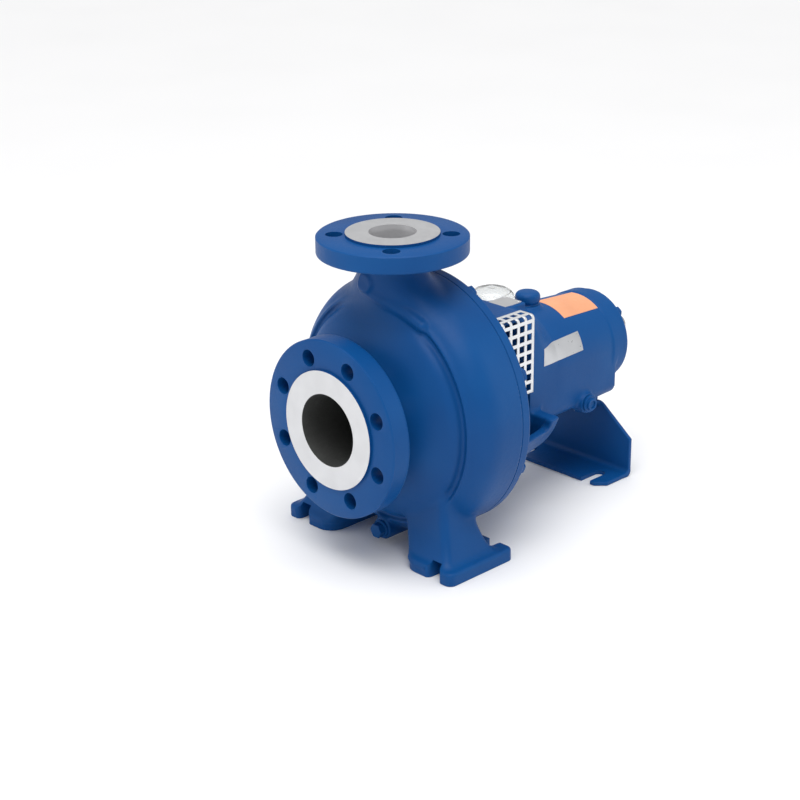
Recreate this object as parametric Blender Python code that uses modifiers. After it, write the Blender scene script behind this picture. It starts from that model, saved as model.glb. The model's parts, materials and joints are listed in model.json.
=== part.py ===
"""End-suction centrifugal water pump of the bare-shaft kind, size 80-50-200.

Every mesh is drawn about the pump's own datum, the point where the shaft axis
crosses the discharge axis: x runs along the shaft towards the drive end, z is
up and y is across.  Each object is then placed at DATUM, which puts the origin
in the middle of the footprint, on the floor.
"""
import math

import bmesh
import bpy
from mathutils import Matrix, Vector

# ---------------------------------------------------------------- main sizes
SUCTION_TO_AXIS = 0.100          # suction face to discharge axis
AXIS_TO_SHAFT_END = 0.385        # discharge axis to the end of the shaft
SHAFT_HEIGHT = 0.160             # floor to shaft axis
DISCHARGE_HEIGHT = 0.200         # shaft axis to discharge face
DATUM = Vector(((SUCTION_TO_AXIS - AXIS_TO_SHAFT_END) / 2, 0, SHAFT_HEIGHT))
GAP = 0.0003                     # between pieces that rest on each other
PAST = 0.002                     # how far a cutter runs past the face it opens
STEPS = 32                       # facets round a large turned piece
RING_STEPS = 24                  # facets round a ring or the shaft
SMALL_STEPS = 16                 # facets round a small turned piece
HOLE_STEPS = 12                  # facets round a bolt hole
TWIST = 0.011                    # start angle of a cutter for each of its facets

# ------------------------------------------------------------------- flanges
SUCTION_BORE = 0.040
SUCTION_FLANGE = dict(radius=0.100, thick=0.022, face=0.0665, raised=0.003,
                      pitch=0.080, holes=8, hole=0.0095)
DISCHARGE_BORE = 0.025
DISCHARGE_FLANGE = dict(radius=0.0825, thick=0.020, face=0.051, raised=0.003,
                        pitch=0.0625, holes=4, hole=0.0095)

# -------------------------------------------------------------------- casing
RIM = 0.148                      # radius of the casing rim and bracket flange
RIM_BACK = 0.044                 # rear face of the casing
SPIGOT = 0.131                   # register that centres the cover
CHAMBER = 0.108                  # radius of the impeller chamber
CASING_PROFILE = [(-0.080, 0.057), (-0.066, 0.058), (-0.056, 0.063), (-0.048, 0.073),
                  (-0.040, 0.090), (-0.031, 0.110), (-0.021, 0.127), (-0.009, 0.138),
                  (0.001, 0.144), (0.012, 0.147), (0.024, RIM)]
FOOT_SPAN = (0.058, 0.1325)      # inner and outer edge of a foot, from the middle
FOOT_X = 0.003                   # middle of the casing feet, along the shaft
FOOT_HALF_LENGTH = 0.050
FOOT_BOLTS_Y = 0.106             # from the middle to the holding-down bolts
FOOT_SLOTS_X = 0.035
FOOT_THICK = 0.015
SLOT_RADIUS = 0.007              # half width of a slot for an M12 bolt
BOLT_CIRCLE = 0.1375             # circle of the screws round the rim
BOLT_COUNT = 8
DRAIN_FACE = -0.021              # front of the drain boss under the casing
DRAIN_Z = -0.142
M10_SHANK = 0.0050
M10_HOLE = 0.0057
M10_HEAD = dict(flats=0.016, height=0.0064)

# ----------------------------------------------------------- cover and bracket
COVER_FRONT = 0.030
FLANGE_FRONT = 0.0463            # front face of the bracket flange
FLANGE_BACK = 0.060
LANTERN_WALL = 0.152             # front of the wall behind the lantern
LANTERN_BACK = 0.168             # back of that wall
WINDOW_SILL = -0.046             # lower edge of the lantern's side windows
SHOULDER_TOP = -0.034            # top of the wall's shoulders, beside the housing
HOUSING_BACK = 0.311
HOUSING_RADIUS = 0.063
HOUSING_BOTTOM = -0.057
PLATE_LAND = 0.077               # flat on top that carries the rating plate
ARM_TOP = 0.083                  # top of the lantern's upper arm
BEARING_BORE = 0.031
BEARINGS = dict(inboard=(0.180, 0.197), outboard=(0.290, 0.307))
COVER_SCREWS = 4
INBOARD_CIRCLE = 0.0382          # circle of the inboard cover's screws
OUTBOARD_CIRCLE = 0.0475         # circle of the outboard cover's screws
VENT_X = 0.216
LEVEL_AT = (0.252, 0, -0.050)    # axis of the oil level plug, along -y
OILER_X = 0.263
OILER_Y = 0.101                  # from the shaft out to the middle of the bottle
OILER_Z = -0.030                 # height of the pipe to the oiler
FOOT_SCREW_X = 0.295             # the two screws under the housing
FOOT_SCREW_Y = 0.018
SUPPORT_X = 0.3145               # front of the support foot's upright plate
SUPPORT_THICK = 0.005
SUPPORT_HALF_WIDTH = 0.080
SUPPORT_SLOT_X = 0.290
SUPPORT_SLOT_Y = 0.055

# --------------------------------------------------------------------- rotor
IMPELLER_RADIUS = 0.1045
SHAFT_END_RADIUS = 0.012
BEARING_SEAT = 0.0125
HUB_SEAT = 0.011


# ------------------------------------------------------------------- helpers
def clear_scene():
    for item in list(bpy.data.objects):
        bpy.data.objects.remove(item, do_unlink=True)


def collection(name):
    group = bpy.data.collections.get(name) or bpy.data.collections.new(name)
    if group.name not in bpy.context.scene.collection.children:
        bpy.context.scene.collection.children.link(group)
    return group


clear_scene()
PARTS = collection("centrifugal_pump")
CUTTERS = collection("cutters")


def material(name, colour, roughness, metallic=0.0, alpha=1.0):
    found = bpy.data.materials.get(name)
    if found:
        return found
    made = bpy.data.materials.new(name)
    made.use_nodes = True
    shader = made.node_tree.nodes["Principled BSDF"]
    shader.inputs["Base Color"].default_value = (*colour, 1.0)
    shader.inputs["Roughness"].default_value = roughness
    shader.inputs["Metallic"].default_value = metallic
    shader.inputs["Alpha"].default_value = alpha
    return made


PAINT = material("blue_paint", (0.010, 0.075, 0.235), 0.38)
STEEL = material("steel", (0.62, 0.63, 0.65), 0.28, 1.0)
GALVANISED = material("galvanised_sheet", (0.78, 0.79, 0.80), 0.42, 0.6)
BRONZE = material("bronze", (0.52, 0.35, 0.16), 0.35, 1.0)
CARBON = material("carbon", (0.03, 0.03, 0.035), 0.45)
RUBBER = material("rubber", (0.02, 0.02, 0.02), 0.75)
GASKET = material("gasket_sheet", (0.10, 0.14, 0.11), 0.85)
CLEAR = material("clear_plastic", (0.88, 0.91, 0.93), 0.08, 0.0, 0.35)
IRON = material("cast_iron", (0.16, 0.16, 0.17), 0.6, 0.7)


def add_object(name, mesh, paint=None, group=PARTS):
    made = bpy.data.objects.new(name, mesh)
    made.location = DATUM
    group.objects.link(made)
    if paint and not mesh.materials:
        mesh.materials.append(paint)
    if group is CUTTERS:
        made.hide_render = True
        made.display_type = "WIRE"
    return made


def mesh_from(name, work):
    mesh = bpy.data.meshes.new(name)
    bmesh.ops.recalc_face_normals(work, faces=work.faces)
    work.to_mesh(mesh)
    work.free()
    return mesh


def point_axis(made, axis, at=(0, 0, 0)):
    """Turn an object drawn along +x so that it runs along axis, at a place."""
    turn = Vector((1, 0, 0)).rotation_difference(Vector(axis)).to_matrix().to_4x4()
    made.matrix_world = Matrix.Translation(DATUM + Vector(at)) @ turn
    return made


def turned(name, profile, paint=None, group=PARTS, steps=STEPS, axis=None, at=(0, 0, 0)):
    """A turned piece: (x, radius) points spun about x by a Screw modifier."""
    points = list(profile)
    closed = not (points[0][1] == 0 and points[-1][1] == 0)
    around = points + [points[0]]
    area = sum(a[0] * b[1] - b[0] * a[1] for a, b in zip(around, around[1:]))
    if area < 0:
        points.reverse()
    mesh = bpy.data.meshes.new(name)
    count = len(points)
    edges = [(i, (i + 1) % count) for i in range(count if closed else count - 1)]
    start = TWIST * (steps + 5) if group is CUTTERS else 0
    aside = (math.cos(start), math.sin(start))
    mesh.from_pydata([(x, r * aside[0], r * aside[1]) for x, r in points], edges, [])
    made = add_object(name, mesh, paint, group)
    spin = made.modifiers.new("spin", "SCREW")
    spin.axis = "X"
    spin.angle = math.tau
    spin.steps = spin.render_steps = steps
    spin.use_merge_vertices = True
    spin.merge_threshold = 0.00001
    if axis:
        point_axis(made, axis, at)
    elif any(at):
        made.location = DATUM + Vector(at)
    return made


def tube(x0, x1, inner, outer):
    """Profile of a plain ring, or of a solid disc where inner is 0."""
    return [(x1, inner), (x1, outer), (x0, outer), (x0, inner)]


def box(name, low, high, paint=None, group=PARTS):
    low, high = Vector(low), Vector(high)
    size = high - low
    work = bmesh.new()
    shape = Matrix.Translation((low + high) / 2) @ Matrix.Diagonal((*size, 1))
    bmesh.ops.create_cube(work, size=1, matrix=shape)
    return add_object(name, mesh_from(name, work), paint, group)


def plate(name, outline, thick, paint=None, group=PARTS):
    """A flat outline in its own xy plane, filled and thickened about z = 0."""
    curve = bpy.data.curves.new(name, "CURVE")
    curve.dimensions = "2D"
    curve.fill_mode = "BOTH"
    curve.extrude = thick / 2
    curve.render_resolution_u = 0
    spline = curve.splines.new("POLY")
    spline.points.add(len(outline) - 1)
    for point, (u, v) in zip(spline.points, outline):
        point.co = (u, v, 0, 1)
    spline.use_cyclic_u = True
    flat = bpy.data.objects.new(name + "_outline", curve)
    CUTTERS.objects.link(flat)
    bpy.context.view_layer.update()
    mesh = bpy.data.meshes.new_from_object(flat.evaluated_get(bpy.context.evaluated_depsgraph_get()))
    bpy.data.objects.remove(flat, do_unlink=True)
    mesh.name = name
    work = bmesh.new()
    work.from_mesh(mesh)
    bmesh.ops.remove_doubles(work, verts=work.verts, dist=0.00001)
    bmesh.ops.recalc_face_normals(work, faces=work.faces)
    work.to_mesh(mesh)
    work.free()
    return add_object(name, mesh, paint, group)


def stand(made, x=0.0):
    """Stand a plate on edge at x: its outline's u and v then run along y and z."""
    across = Matrix(((0, 0, 1, 0), (1, 0, 0, 0), (0, 1, 0, 0), (0, 0, 0, 1)))
    made.matrix_world = Matrix.Translation(DATUM + Vector((x, 0, 0))) @ across
    return made


def loft(name, rings, paint=None, group=PARTS):
    """A solid between closed rings that all have the same number of points."""
    work = bmesh.new()
    rows = [[work.verts.new(p) for p in ring] for ring in rings]
    for row, after in zip(rows, rows[1:]):
        for i in range(len(row)):
            j = (i + 1) % len(row)
            work.faces.new((row[i], row[j], after[j], after[i]))
    work.faces.new(list(reversed(rows[0])))
    work.faces.new(rows[-1])
    return add_object(name, mesh_from(name, work), paint, group)


def boolean(target, other, operation):
    change = target.modifiers.new(operation.lower(), "BOOLEAN")
    change.operation = operation
    change.solver = "EXACT"
    change.object = other
    return target


def cut(target, *others):
    for other in others:
        boolean(target, other, "DIFFERENCE")
    return target


def join(target, *others):
    for other in others:
        boolean(target, other, "UNION")
    return target


def baked(made):
    """The object's finished mesh, for copies that share it; the maker is removed."""
    bpy.context.view_layer.update()
    ready = made.evaluated_get(bpy.context.evaluated_depsgraph_get())
    mesh = bpy.data.meshes.new_from_object(ready)
    bpy.data.objects.remove(made, do_unlink=True)
    return mesh


def ellipse(cx, cy, z, rx, ry, count=20):
    angles = [math.tau * (i + 0.37) / count for i in range(count)]
    return [(cx + rx * math.cos(a), cy + ry * math.sin(a), z) for a in angles]


def on_circle(radius, angle, x=0.0):
    """A place round the shaft, angle measured from the top towards -y."""
    return (x, -radius * math.sin(angle), radius * math.cos(angle))


def hexagon(name, x0, x1, flats, group=PARTS, paint=None):
    """A hexagonal prism along x, given its width across flats."""
    profile = tube(x0, x1, 0, flats / math.sqrt(3))
    return turned(name, profile, paint, group, steps=6)


# -------------------------------------------------------------------- flanges
def flange(name, sizes, bore, axis, distance):
    """A round flange with a raised face, drawn from its face inwards."""
    back = sizes["raised"] + sizes["thick"]
    profile = [(0, bore), (0, sizes["face"]), (-sizes["raised"], sizes["face"]),
               (-sizes["raised"], sizes["radius"]), (-back, sizes["radius"]), (-back, bore)]
    return turned(name, profile, group=CUTTERS, axis=axis, at=Vector(axis) * distance)


def flange_holes(name, sizes, axis, distance):
    """The bolt holes of a flange, which straddle its centre lines."""
    count = sizes["holes"]
    made = []
    for i in range(count):
        angle = math.tau * (i + 0.5) / count
        across = Vector((0, math.cos(angle), math.sin(angle))) * sizes["pitch"]
        turn = Vector((1, 0, 0)).rotation_difference(Vector(axis))
        place = Vector(axis) * distance + turn @ across
        profile = tube(-0.030, 0.005, 0, sizes["hole"])
        made.append(turned(f"{name}_{i}", profile, group=CUTTERS, steps=HOLE_STEPS, axis=axis, at=place))
    return made


# --------------------------------------------------------------- volute casing
def volute_channel():
    """The spiral water way: round sections that grow towards the discharge."""
    turns = 15
    rings = []
    for i in range(turns + 1):
        part = i / turns
        angle = math.radians(-38 - 300 * part)
        radius = 0.006 + 0.013 * part
        centre = CHAMBER - 0.001 + radius * 0.55
        out = Vector(on_circle(1, angle))
        ring = []
        for j in range(10):
            turn = math.tau * j / 10
            place = out * (centre + radius * math.cos(turn))
            ring.append((0.003 + radius * 1.05 * math.sin(turn), place.y, place.z))
        rings.append(ring)
    return loft("cut_volute", rings, group=CUTTERS)


def discharge_way():
    """The water way that swings from the volute up to the discharge face."""
    rings = [ellipse(0.003, -0.092, 0.040, 0.016, 0.018),
             ellipse(0.003, -0.076, 0.075, 0.018, 0.020),
             ellipse(0.002, -0.045, 0.115, 0.021, 0.023),
             ellipse(0.001, -0.014, 0.150, 0.024, 0.025),
             ellipse(0, 0, 0.172, DISCHARGE_BORE, DISCHARGE_BORE),
             ellipse(0, 0, 0.190, DISCHARGE_BORE, DISCHARGE_BORE),
             ellipse(0, 0, DISCHARGE_HEIGHT + PAST, DISCHARGE_BORE, DISCHARGE_BORE)]
    return loft("cut_discharge", rings, group=CUTTERS)


def discharge_neck():
    """The nozzle under the discharge flange, flaring into the casing."""
    rings = [ellipse(0.006, 0, 0.085, 0.034, 0.088),
             ellipse(0.005, 0, 0.118, 0.036, 0.074),
             ellipse(0.003, 0, 0.140, 0.036, 0.054),
             ellipse(0, 0, 0.158, 0.036, 0.040),
             ellipse(0, 0, 0.168, 0.036, 0.036),
             ellipse(0, 0, 0.182, 0.037, 0.037)]
    return loft("neck", rings, group=CUTTERS)


def rounded(corners, steps=4):
    """A convex outline from (u, v, radius) corners, with an arc at each corner."""
    points = []
    for i, (u, v, radius) in enumerate(corners):
        here = Vector((u, v))
        back = (Vector(corners[i - 1][:2]) - here).normalized()
        ahead = (Vector(corners[(i + 1) % len(corners)][:2]) - here).normalized()
        half = back.angle(ahead) / 2
        middle = here + (back + ahead).normalized() * (radius / math.sin(half))
        start = here + back * (radius / math.tan(half)) - middle
        turn = start.angle_signed(here + ahead * (radius / math.tan(half)) - middle)
        for step in range(steps + 1):
            spoke = start.copy()
            spoke.rotate(Matrix.Rotation(-turn * step / steps, 2))
            points.append(tuple(middle + spoke))
    return points


def casing_foot(side):
    """One foot: a slotted bar along x under a web that spreads out of the casing."""
    inner, outer = FOOT_SPAN
    front, rear = FOOT_X - FOOT_HALF_LENGTH, FOOT_X + FOOT_HALF_LENGTH
    corners = [(front, outer, 0.008), (rear, outer, 0.008), (rear, inner, 0.014), (front, inner, 0.020)]
    bar = plate(f"foot_bar_{side}", [(x, side * y) for x, y in rounded(corners)], FOOT_THICK,
                group=CUTTERS)
    bar.location = DATUM + Vector((0, 0, FOOT_THICK / 2 - SHAFT_HEIGHT))
    sections = [(-0.148, -0.042, 0.032, 0.060, 0.124), (-0.138, -0.037, 0.028, 0.053, 0.116),
                (-0.120, -0.031, 0.024, 0.045, 0.107), (-0.098, -0.027, 0.022, 0.038, 0.102),
                (-0.070, -0.024, 0.022, 0.030, 0.098)]
    rings = []
    for z, x0, x1, near, far in sections:
        web = rounded([(x0, far, 0.006), (x1, far, 0.006), (x1, near, 0.006), (x0, near, 0.006)], 2)
        rings.append([(x, side * y, z) for x, y in web])
    return [bar, loft(f"foot_web_{side}", rings, group=CUTTERS)]


def slot_outline(radius, reach):
    """A round-ended slot that runs off towards +x."""
    arc = [math.radians(90 + 180 * i / 8) for i in range(9)]
    points = [(radius * math.cos(a), radius * math.sin(a)) for a in arc]
    return points + [(reach, -radius), (reach, radius)]


def foot_slots(side):
    """The open-ended bolt slots, one at each end of a foot, with rounded lips."""
    lip = FOOT_HALF_LENGTH - FOOT_SLOTS_X
    flare = [(lip - 0.006, 0), (lip - 0.002, 0.0015), (lip + 0.0005, 0.006), (0.030, 0.006)]
    half = [(u, SLOT_RADIUS + v) for u, v in flare]
    arc = slot_outline(SLOT_RADIUS, 0)[:-2]
    whole = arc + [(u, -v) for u, v in half] + half[::-1]
    made = []
    for end in (-1, 1):
        outline = [(end * u, v) for u, v in whole]
        slot = plate(f"cut_slot_{side}_{end}", outline, 0.040, group=CUTTERS)
        slot.location = DATUM + Vector((FOOT_X + end * FOOT_SLOTS_X, side * FOOT_BOLTS_Y, -SHAFT_HEIGHT))
        made.append(slot)
    return made


def screw_holes(name, x0, x1, radius, circle, count):
    made = []
    for i in range(count):
        place = on_circle(circle, math.tau * (i + 0.5) / count)
        made.append(turned(f"{name}_{i}", tube(x0, x1, 0, radius), group=CUTTERS, steps=8, at=place))
    return made


def volute_casing():
    front = CASING_PROFILE[0][0]
    body = [(front, 0)] + CASING_PROFILE + [(RIM_BACK, RIM), (RIM_BACK, 0)]
    casing = turned("volute_casing", body, PAINT)
    join(casing, discharge_neck())
    join(casing, flange("suction_flange", SUCTION_FLANGE, 0.030, (-1, 0, 0), SUCTION_TO_AXIS))
    join(casing, flange("discharge_flange", DISCHARGE_FLANGE, 0.020, (0, 0, 1), DISCHARGE_HEIGHT))
    for side in (-1, 1):
        join(casing, *casing_foot(side))
    boss = turned("drain_boss", tube(DRAIN_FACE, 0.020, 0, 0.0125), group=CUTTERS,
                  steps=SMALL_STEPS, at=(0, 0, DRAIN_Z))
    join(casing, boss)
    step = COVER_FRONT - 0.0017
    inside = [(RIM_BACK + PAST, 0), (RIM_BACK + PAST, SPIGOT), (step, SPIGOT), (step, CHAMBER),
              (-0.006, CHAMBER), (-0.022, 0.060), (-0.030, 0.0525), (-0.0345, 0.0525),
              (-0.0345, SUCTION_BORE), (-SUCTION_TO_AXIS - PAST, SUCTION_BORE),
              (-SUCTION_TO_AXIS - PAST, 0)]
    cut(casing, turned("cut_chamber", inside, group=CUTTERS), volute_channel(), discharge_way())
    cut(casing, *flange_holes("cut_suction_hole", SUCTION_FLANGE, (-1, 0, 0), SUCTION_TO_AXIS))
    cut(casing, *flange_holes("cut_discharge_hole", DISCHARGE_FLANGE, (0, 0, 1), DISCHARGE_HEIGHT))
    cut(casing, *foot_slots(-1), *foot_slots(1))
    cut(casing, *screw_holes("cut_casing_screw", 0.022, RIM_BACK + PAST, M10_HOLE, BOLT_CIRCLE,
                             BOLT_COUNT))
    cut(casing, turned("cut_drain", tube(DRAIN_FACE - PAST, DRAIN_FACE + 0.020, 0, 0.0063),
                       group=CUTTERS, steps=HOLE_STEPS, at=(0, 0, DRAIN_Z)))
    return casing


# ------------------------------------------------------------- cover and seal
def casing_cover():
    """The cover behind the impeller, with the seal chamber at its middle."""
    front, flange_back, chamber_back = COVER_FRONT, FLANGE_FRONT - GAP, 0.092
    profile = [(front, 0.0525), (front, 0.1305), (flange_back, 0.1305), (flange_back, 0.064),
               (0.052, 0.058), (chamber_back, 0.056), (chamber_back, 0.0268), (0.084, 0.0268),
               (0.084, 0.030), (0.046, 0.030), (0.046, 0.0170), (0.040, 0.0170), (0.040, 0.0525)]
    return turned("casing_cover", profile, PAINT)


def fixed_rings():
    """Gasket, wear rings and the standing face of the shaft seal."""
    gasket = tube(COVER_FRONT - 0.0014, COVER_FRONT - GAP, 0.1195, 0.1305)
    turned("casing_gasket", gasket, GASKET)
    turned("suction_wear_ring", tube(-0.0342, -0.0220, 0.0465, 0.0522), BRONZE)
    turned("cover_wear_ring", tube(0.0280, 0.0397, 0.0465, 0.0522), BRONZE)
    turned("seal_seat", tube(0.0845, 0.0915, 0.0165, 0.0265), CARBON, steps=SMALL_STEPS)


# ------------------------------------------------------------ bearing bracket
def arch(x, half_width, top, shoulder, corner=0.014):
    """Cross-section of the housing: rounded shoulders on upright sides."""
    centres = [(half_width - shoulder, top - shoulder, shoulder, 0),
               (shoulder - half_width, top - shoulder, shoulder, 90),
               (corner - half_width, HOUSING_BOTTOM + corner, corner, 180),
               (half_width - corner, HOUSING_BOTTOM + corner, corner, 270)]
    points = []
    for y, z, radius, start in centres:
        for i in range(6):
            angle = math.radians(start + 18 * i)
            points.append((x, y + radius * math.cos(angle), z + radius * math.sin(angle)))
    return points


def lantern():
    """The cage between pump and bearings: a lower cone and an upper arm."""
    cone = [(FLANGE_FRONT, 0.066), (FLANGE_FRONT, RIM), (FLANGE_BACK, RIM), (FLANGE_BACK, 0.120),
            (0.104, 0.113), (LANTERN_WALL, 0.1045), (LANTERN_BACK, 0.1020), (LANTERN_BACK, 0.045),
            (LANTERN_WALL, 0.045), (LANTERN_WALL, 0.094), (0.104, 0.103), (FLANGE_BACK, 0.109),
            (FLANGE_BACK, 0.066)]
    shell = turned("bearing_bracket", cone, PAINT)
    cut(shell, box("cut_window", (FLANGE_BACK + 0.001, -0.160, WINDOW_SILL),
                   (LANTERN_WALL - 0.001, 0.160, 0.160), group=CUTTERS))
    cut(shell, box("cut_shoulder", (LANTERN_WALL - 0.002, -0.161, SHOULDER_TOP),
                   (LANTERN_BACK + 0.001, 0.161, 0.161), group=CUTTERS))
    arm = box("upper_arm", (FLANGE_BACK - 0.005, -0.048, 0.0715), (0.1538, 0.048, ARM_TOP),
              group=CUTTERS)
    return join(shell, arm)


def bearing_bracket():
    body = lantern()
    wall = loft("wall", [arch(LANTERN_WALL - 0.0005, 0.064, PLATE_LAND, 0.032),
                         arch(0.166, 0.064, PLATE_LAND - 0.001, 0.034),
                         arch(0.202, HOUSING_RADIUS, HOUSING_RADIUS + 0.002, HOUSING_RADIUS - 0.0005),
                         arch(HOUSING_BACK, 0.0575, 0.0575, 0.0570)], group=CUTTERS)
    rear = turned("rear_flange", tube(HOUSING_BACK - 0.006, 0.3237, 0, 0.0595), group=CUTTERS)
    ridge = box("plate_pad", (LANTERN_WALL + 0.0005, -0.0165, 0.040), (0.1950, 0.0165, PLATE_LAND + 0.0003),
                group=CUTTERS)
    vent = turned("vent_boss", tube(0.040, 0.0665, 0, 0.0155), group=CUTTERS, steps=SMALL_STEPS,
                  axis=(0, 0, 1), at=(VENT_X, 0, 0))
    level = turned("level_boss", tube(0.030, 0.0665, 0, 0.012), group=CUTTERS, steps=SMALL_STEPS,
                   axis=(0, -1, 0), at=LEVEL_AT)
    oiler = turned("oiler_boss", tube(0.030, 0.068, 0, 0.013), group=CUTTERS, steps=SMALL_STEPS,
                   axis=(0, 1, 0), at=(OILER_X, 0, OILER_Z))
    pad = box("foot_pad", (0.276, -0.030, -0.0727), (0.3137, 0.030, -0.040), group=CUTTERS)
    join(body, wall, rear, ridge, vent, level, oiler, pad)
    space = [(0.330, 0), (0.330, BEARING_BORE + GAP), (0.2895, BEARING_BORE + GAP),
             (0.2895, 0.0285), (0.284, 0.0285), (0.280, 0.046), (0.207, 0.046), (0.203, 0.0285),
             (0.1975, 0.0285), (0.1975, BEARING_BORE + GAP), (0.1693, BEARING_BORE + GAP),
             (0.1693, 0.0452), (0.150, 0.0452), (0.150, 0)]
    cut(body, turned("cut_bearings", space, group=CUTTERS))
    cut(body, turned("cut_vent", tube(0.034, 0.070, 0, 0.0083), group=CUTTERS, steps=10,
                     axis=(0, 0, 1), at=(VENT_X, 0, 0)))
    cut(body, turned("cut_level", tube(0.052, 0.070, 0, 0.0073), group=CUTTERS, steps=HOLE_STEPS,
                     axis=(0, -1, 0), at=LEVEL_AT))
    cut(body, turned("cut_oiler", tube(0.035, 0.070, 0, 0.0063), group=CUTTERS, steps=HOLE_STEPS,
                     axis=(0, 1, 0), at=(OILER_X, 0, OILER_Z)))
    cut(body, *screw_holes("cut_flange_screw", 0.040, FLANGE_BACK + PAST, M10_HOLE, BOLT_CIRCLE,
                           BOLT_COUNT))
    cut(body, *screw_holes("cut_front_cover_screw", 0.160, 0.1760, 0.0030, INBOARD_CIRCLE,
                           COVER_SCREWS))
    cut(body, *screw_holes("cut_rear_cover_screw", 0.308, 0.326, 0.0046, OUTBOARD_CIRCLE,
                           COVER_SCREWS))
    for side in (-1, 1):
        place = (FOOT_SCREW_X, side * FOOT_SCREW_Y, -0.0730)
        cut(body, turned(f"cut_foot_screw_{side}", tube(-PAST, 0.016, 0, M10_HOLE), group=CUTTERS,
                         steps=8, axis=(0, 0, 1), at=place))
    return body


def bearing_covers():
    """End covers that hold the bearings and carry the lip seals."""
    front = [(0.1600, 0.0175), (0.1600, 0.0447), (0.1690, 0.0447), (0.1690, 0.0306),
             (0.1797, 0.0306), (0.1797, 0.0265), (0.1690, 0.0265), (0.1690, 0.0175)]
    cover = turned("inboard_bearing_cover", front, PAINT, steps=RING_STEPS)
    cut(cover, *screw_holes("cut_front_screw", 0.155, 0.1755, 0.0030, INBOARD_CIRCLE, COVER_SCREWS))
    rear = [(0.3240, 0.0175), (0.3073, 0.0265), (0.3073, 0.0306), (0.3240, 0.0306),
            (0.3240, 0.0565), (0.3330, 0.0565), (0.3345, 0.0550), (0.3345, 0.0175)]
    cover = turned("outboard_bearing_cover", rear, PAINT, steps=RING_STEPS)
    cut(cover, *screw_holes("cut_rear_screw", 0.318, 0.340, 0.0046, OUTBOARD_CIRCLE, COVER_SCREWS))


def lip_seals():
    turned("inboard_lip_seal", tube(0.1605, 0.1680, 0.0128, 0.0172), RUBBER, steps=SMALL_STEPS)
    turned("outboard_lip_seal", tube(0.3265, 0.3340, 0.0128, 0.0172), RUBBER, steps=SMALL_STEPS)


def ball_bearing(end, x0, x1):
    """A deep-groove bearing: two rings, and the balls held in their cage."""
    middle = (x0 + x1) / 2
    pitch, ball, balls = 0.02175, 0.0055, 7
    groove = [(middle + 0.0042, 0.0), (middle + 0.0025, -0.0018), (middle, -0.0022),
              (middle - 0.0025, -0.0018), (middle - 0.0042, 0.0)]
    inner = [(x0, BEARING_SEAT + 0.0002), (x0, 0.0180)]
    inner += [(x, 0.0180 + dr) for x, dr in reversed(groove)]
    inner += [(x1, 0.0180), (x1, BEARING_SEAT + 0.0002)]
    turned(f"{end}_bearing_inner_ring", inner, STEEL, steps=RING_STEPS)
    outer = [(x0, BEARING_BORE), (x0, 0.0255)]
    outer += [(x, 0.0255 - dr) for x, dr in reversed(groove)]
    outer += [(x1, 0.0255), (x1, BEARING_BORE)]
    turned(f"{end}_bearing_outer_ring", outer, STEEL, steps=RING_STEPS)
    cage = turned(f"{end}_bearing_ball_set", tube(middle - 0.002, middle + 0.002, 0.0203, 0.0232),
                  STEEL, steps=SMALL_STEPS)
    for i in range(balls):
        work = bmesh.new()
        bmesh.ops.create_uvsphere(work, u_segments=8, v_segments=6, radius=ball)
        sphere = add_object(f"{end}_ball_{i}", mesh_from(f"{end}_ball_{i}", work), group=CUTTERS)
        sphere.location = DATUM + Vector(on_circle(pitch, math.tau * (i + 0.21) / balls, middle))
        join(cage, sphere)


# ----------------------------------------------------------------------- rotor
def pump_shaft():
    """The shaft, with keyways for the impeller and for the coupling."""
    profile = [(-0.0300, 0), (-0.0300, 0.0068), (-0.0290, 0.0078), (-0.0110, 0.0078),
               (-0.0110, HUB_SEAT), (0.0990, HUB_SEAT), (0.0990, BEARING_SEAT - 0.0004),
               (0.1795, BEARING_SEAT - 0.0004), (0.1795, BEARING_SEAT), (0.1972, BEARING_SEAT),
               (0.1972, 0.0155), (0.2898, 0.0155), (0.2898, BEARING_SEAT), (0.3072, BEARING_SEAT),
               (0.3072, 0.0110), (0.3092, 0.0110), (0.3092, BEARING_SEAT - 0.0002),
               (0.3350, BEARING_SEAT - 0.0002), (0.3350, SHAFT_END_RADIUS),
               (AXIS_TO_SHAFT_END - 0.0015, SHAFT_END_RADIUS),
               (AXIS_TO_SHAFT_END, SHAFT_END_RADIUS - 0.0015), (AXIS_TO_SHAFT_END, 0)]
    shaft = turned("pump_shaft", profile, STEEL, steps=RING_STEPS)
    cut(shaft, box("cut_keyway_hub", (-0.0050, -0.0030, 0.0075), (0.0220, 0.0030, 0.0160),
                   group=CUTTERS))
    cut(shaft, box("cut_keyway_end", (0.3430, -0.0040, 0.0080), (0.3800, 0.0040, 0.0160),
                   group=CUTTERS))
    return shaft


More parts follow.
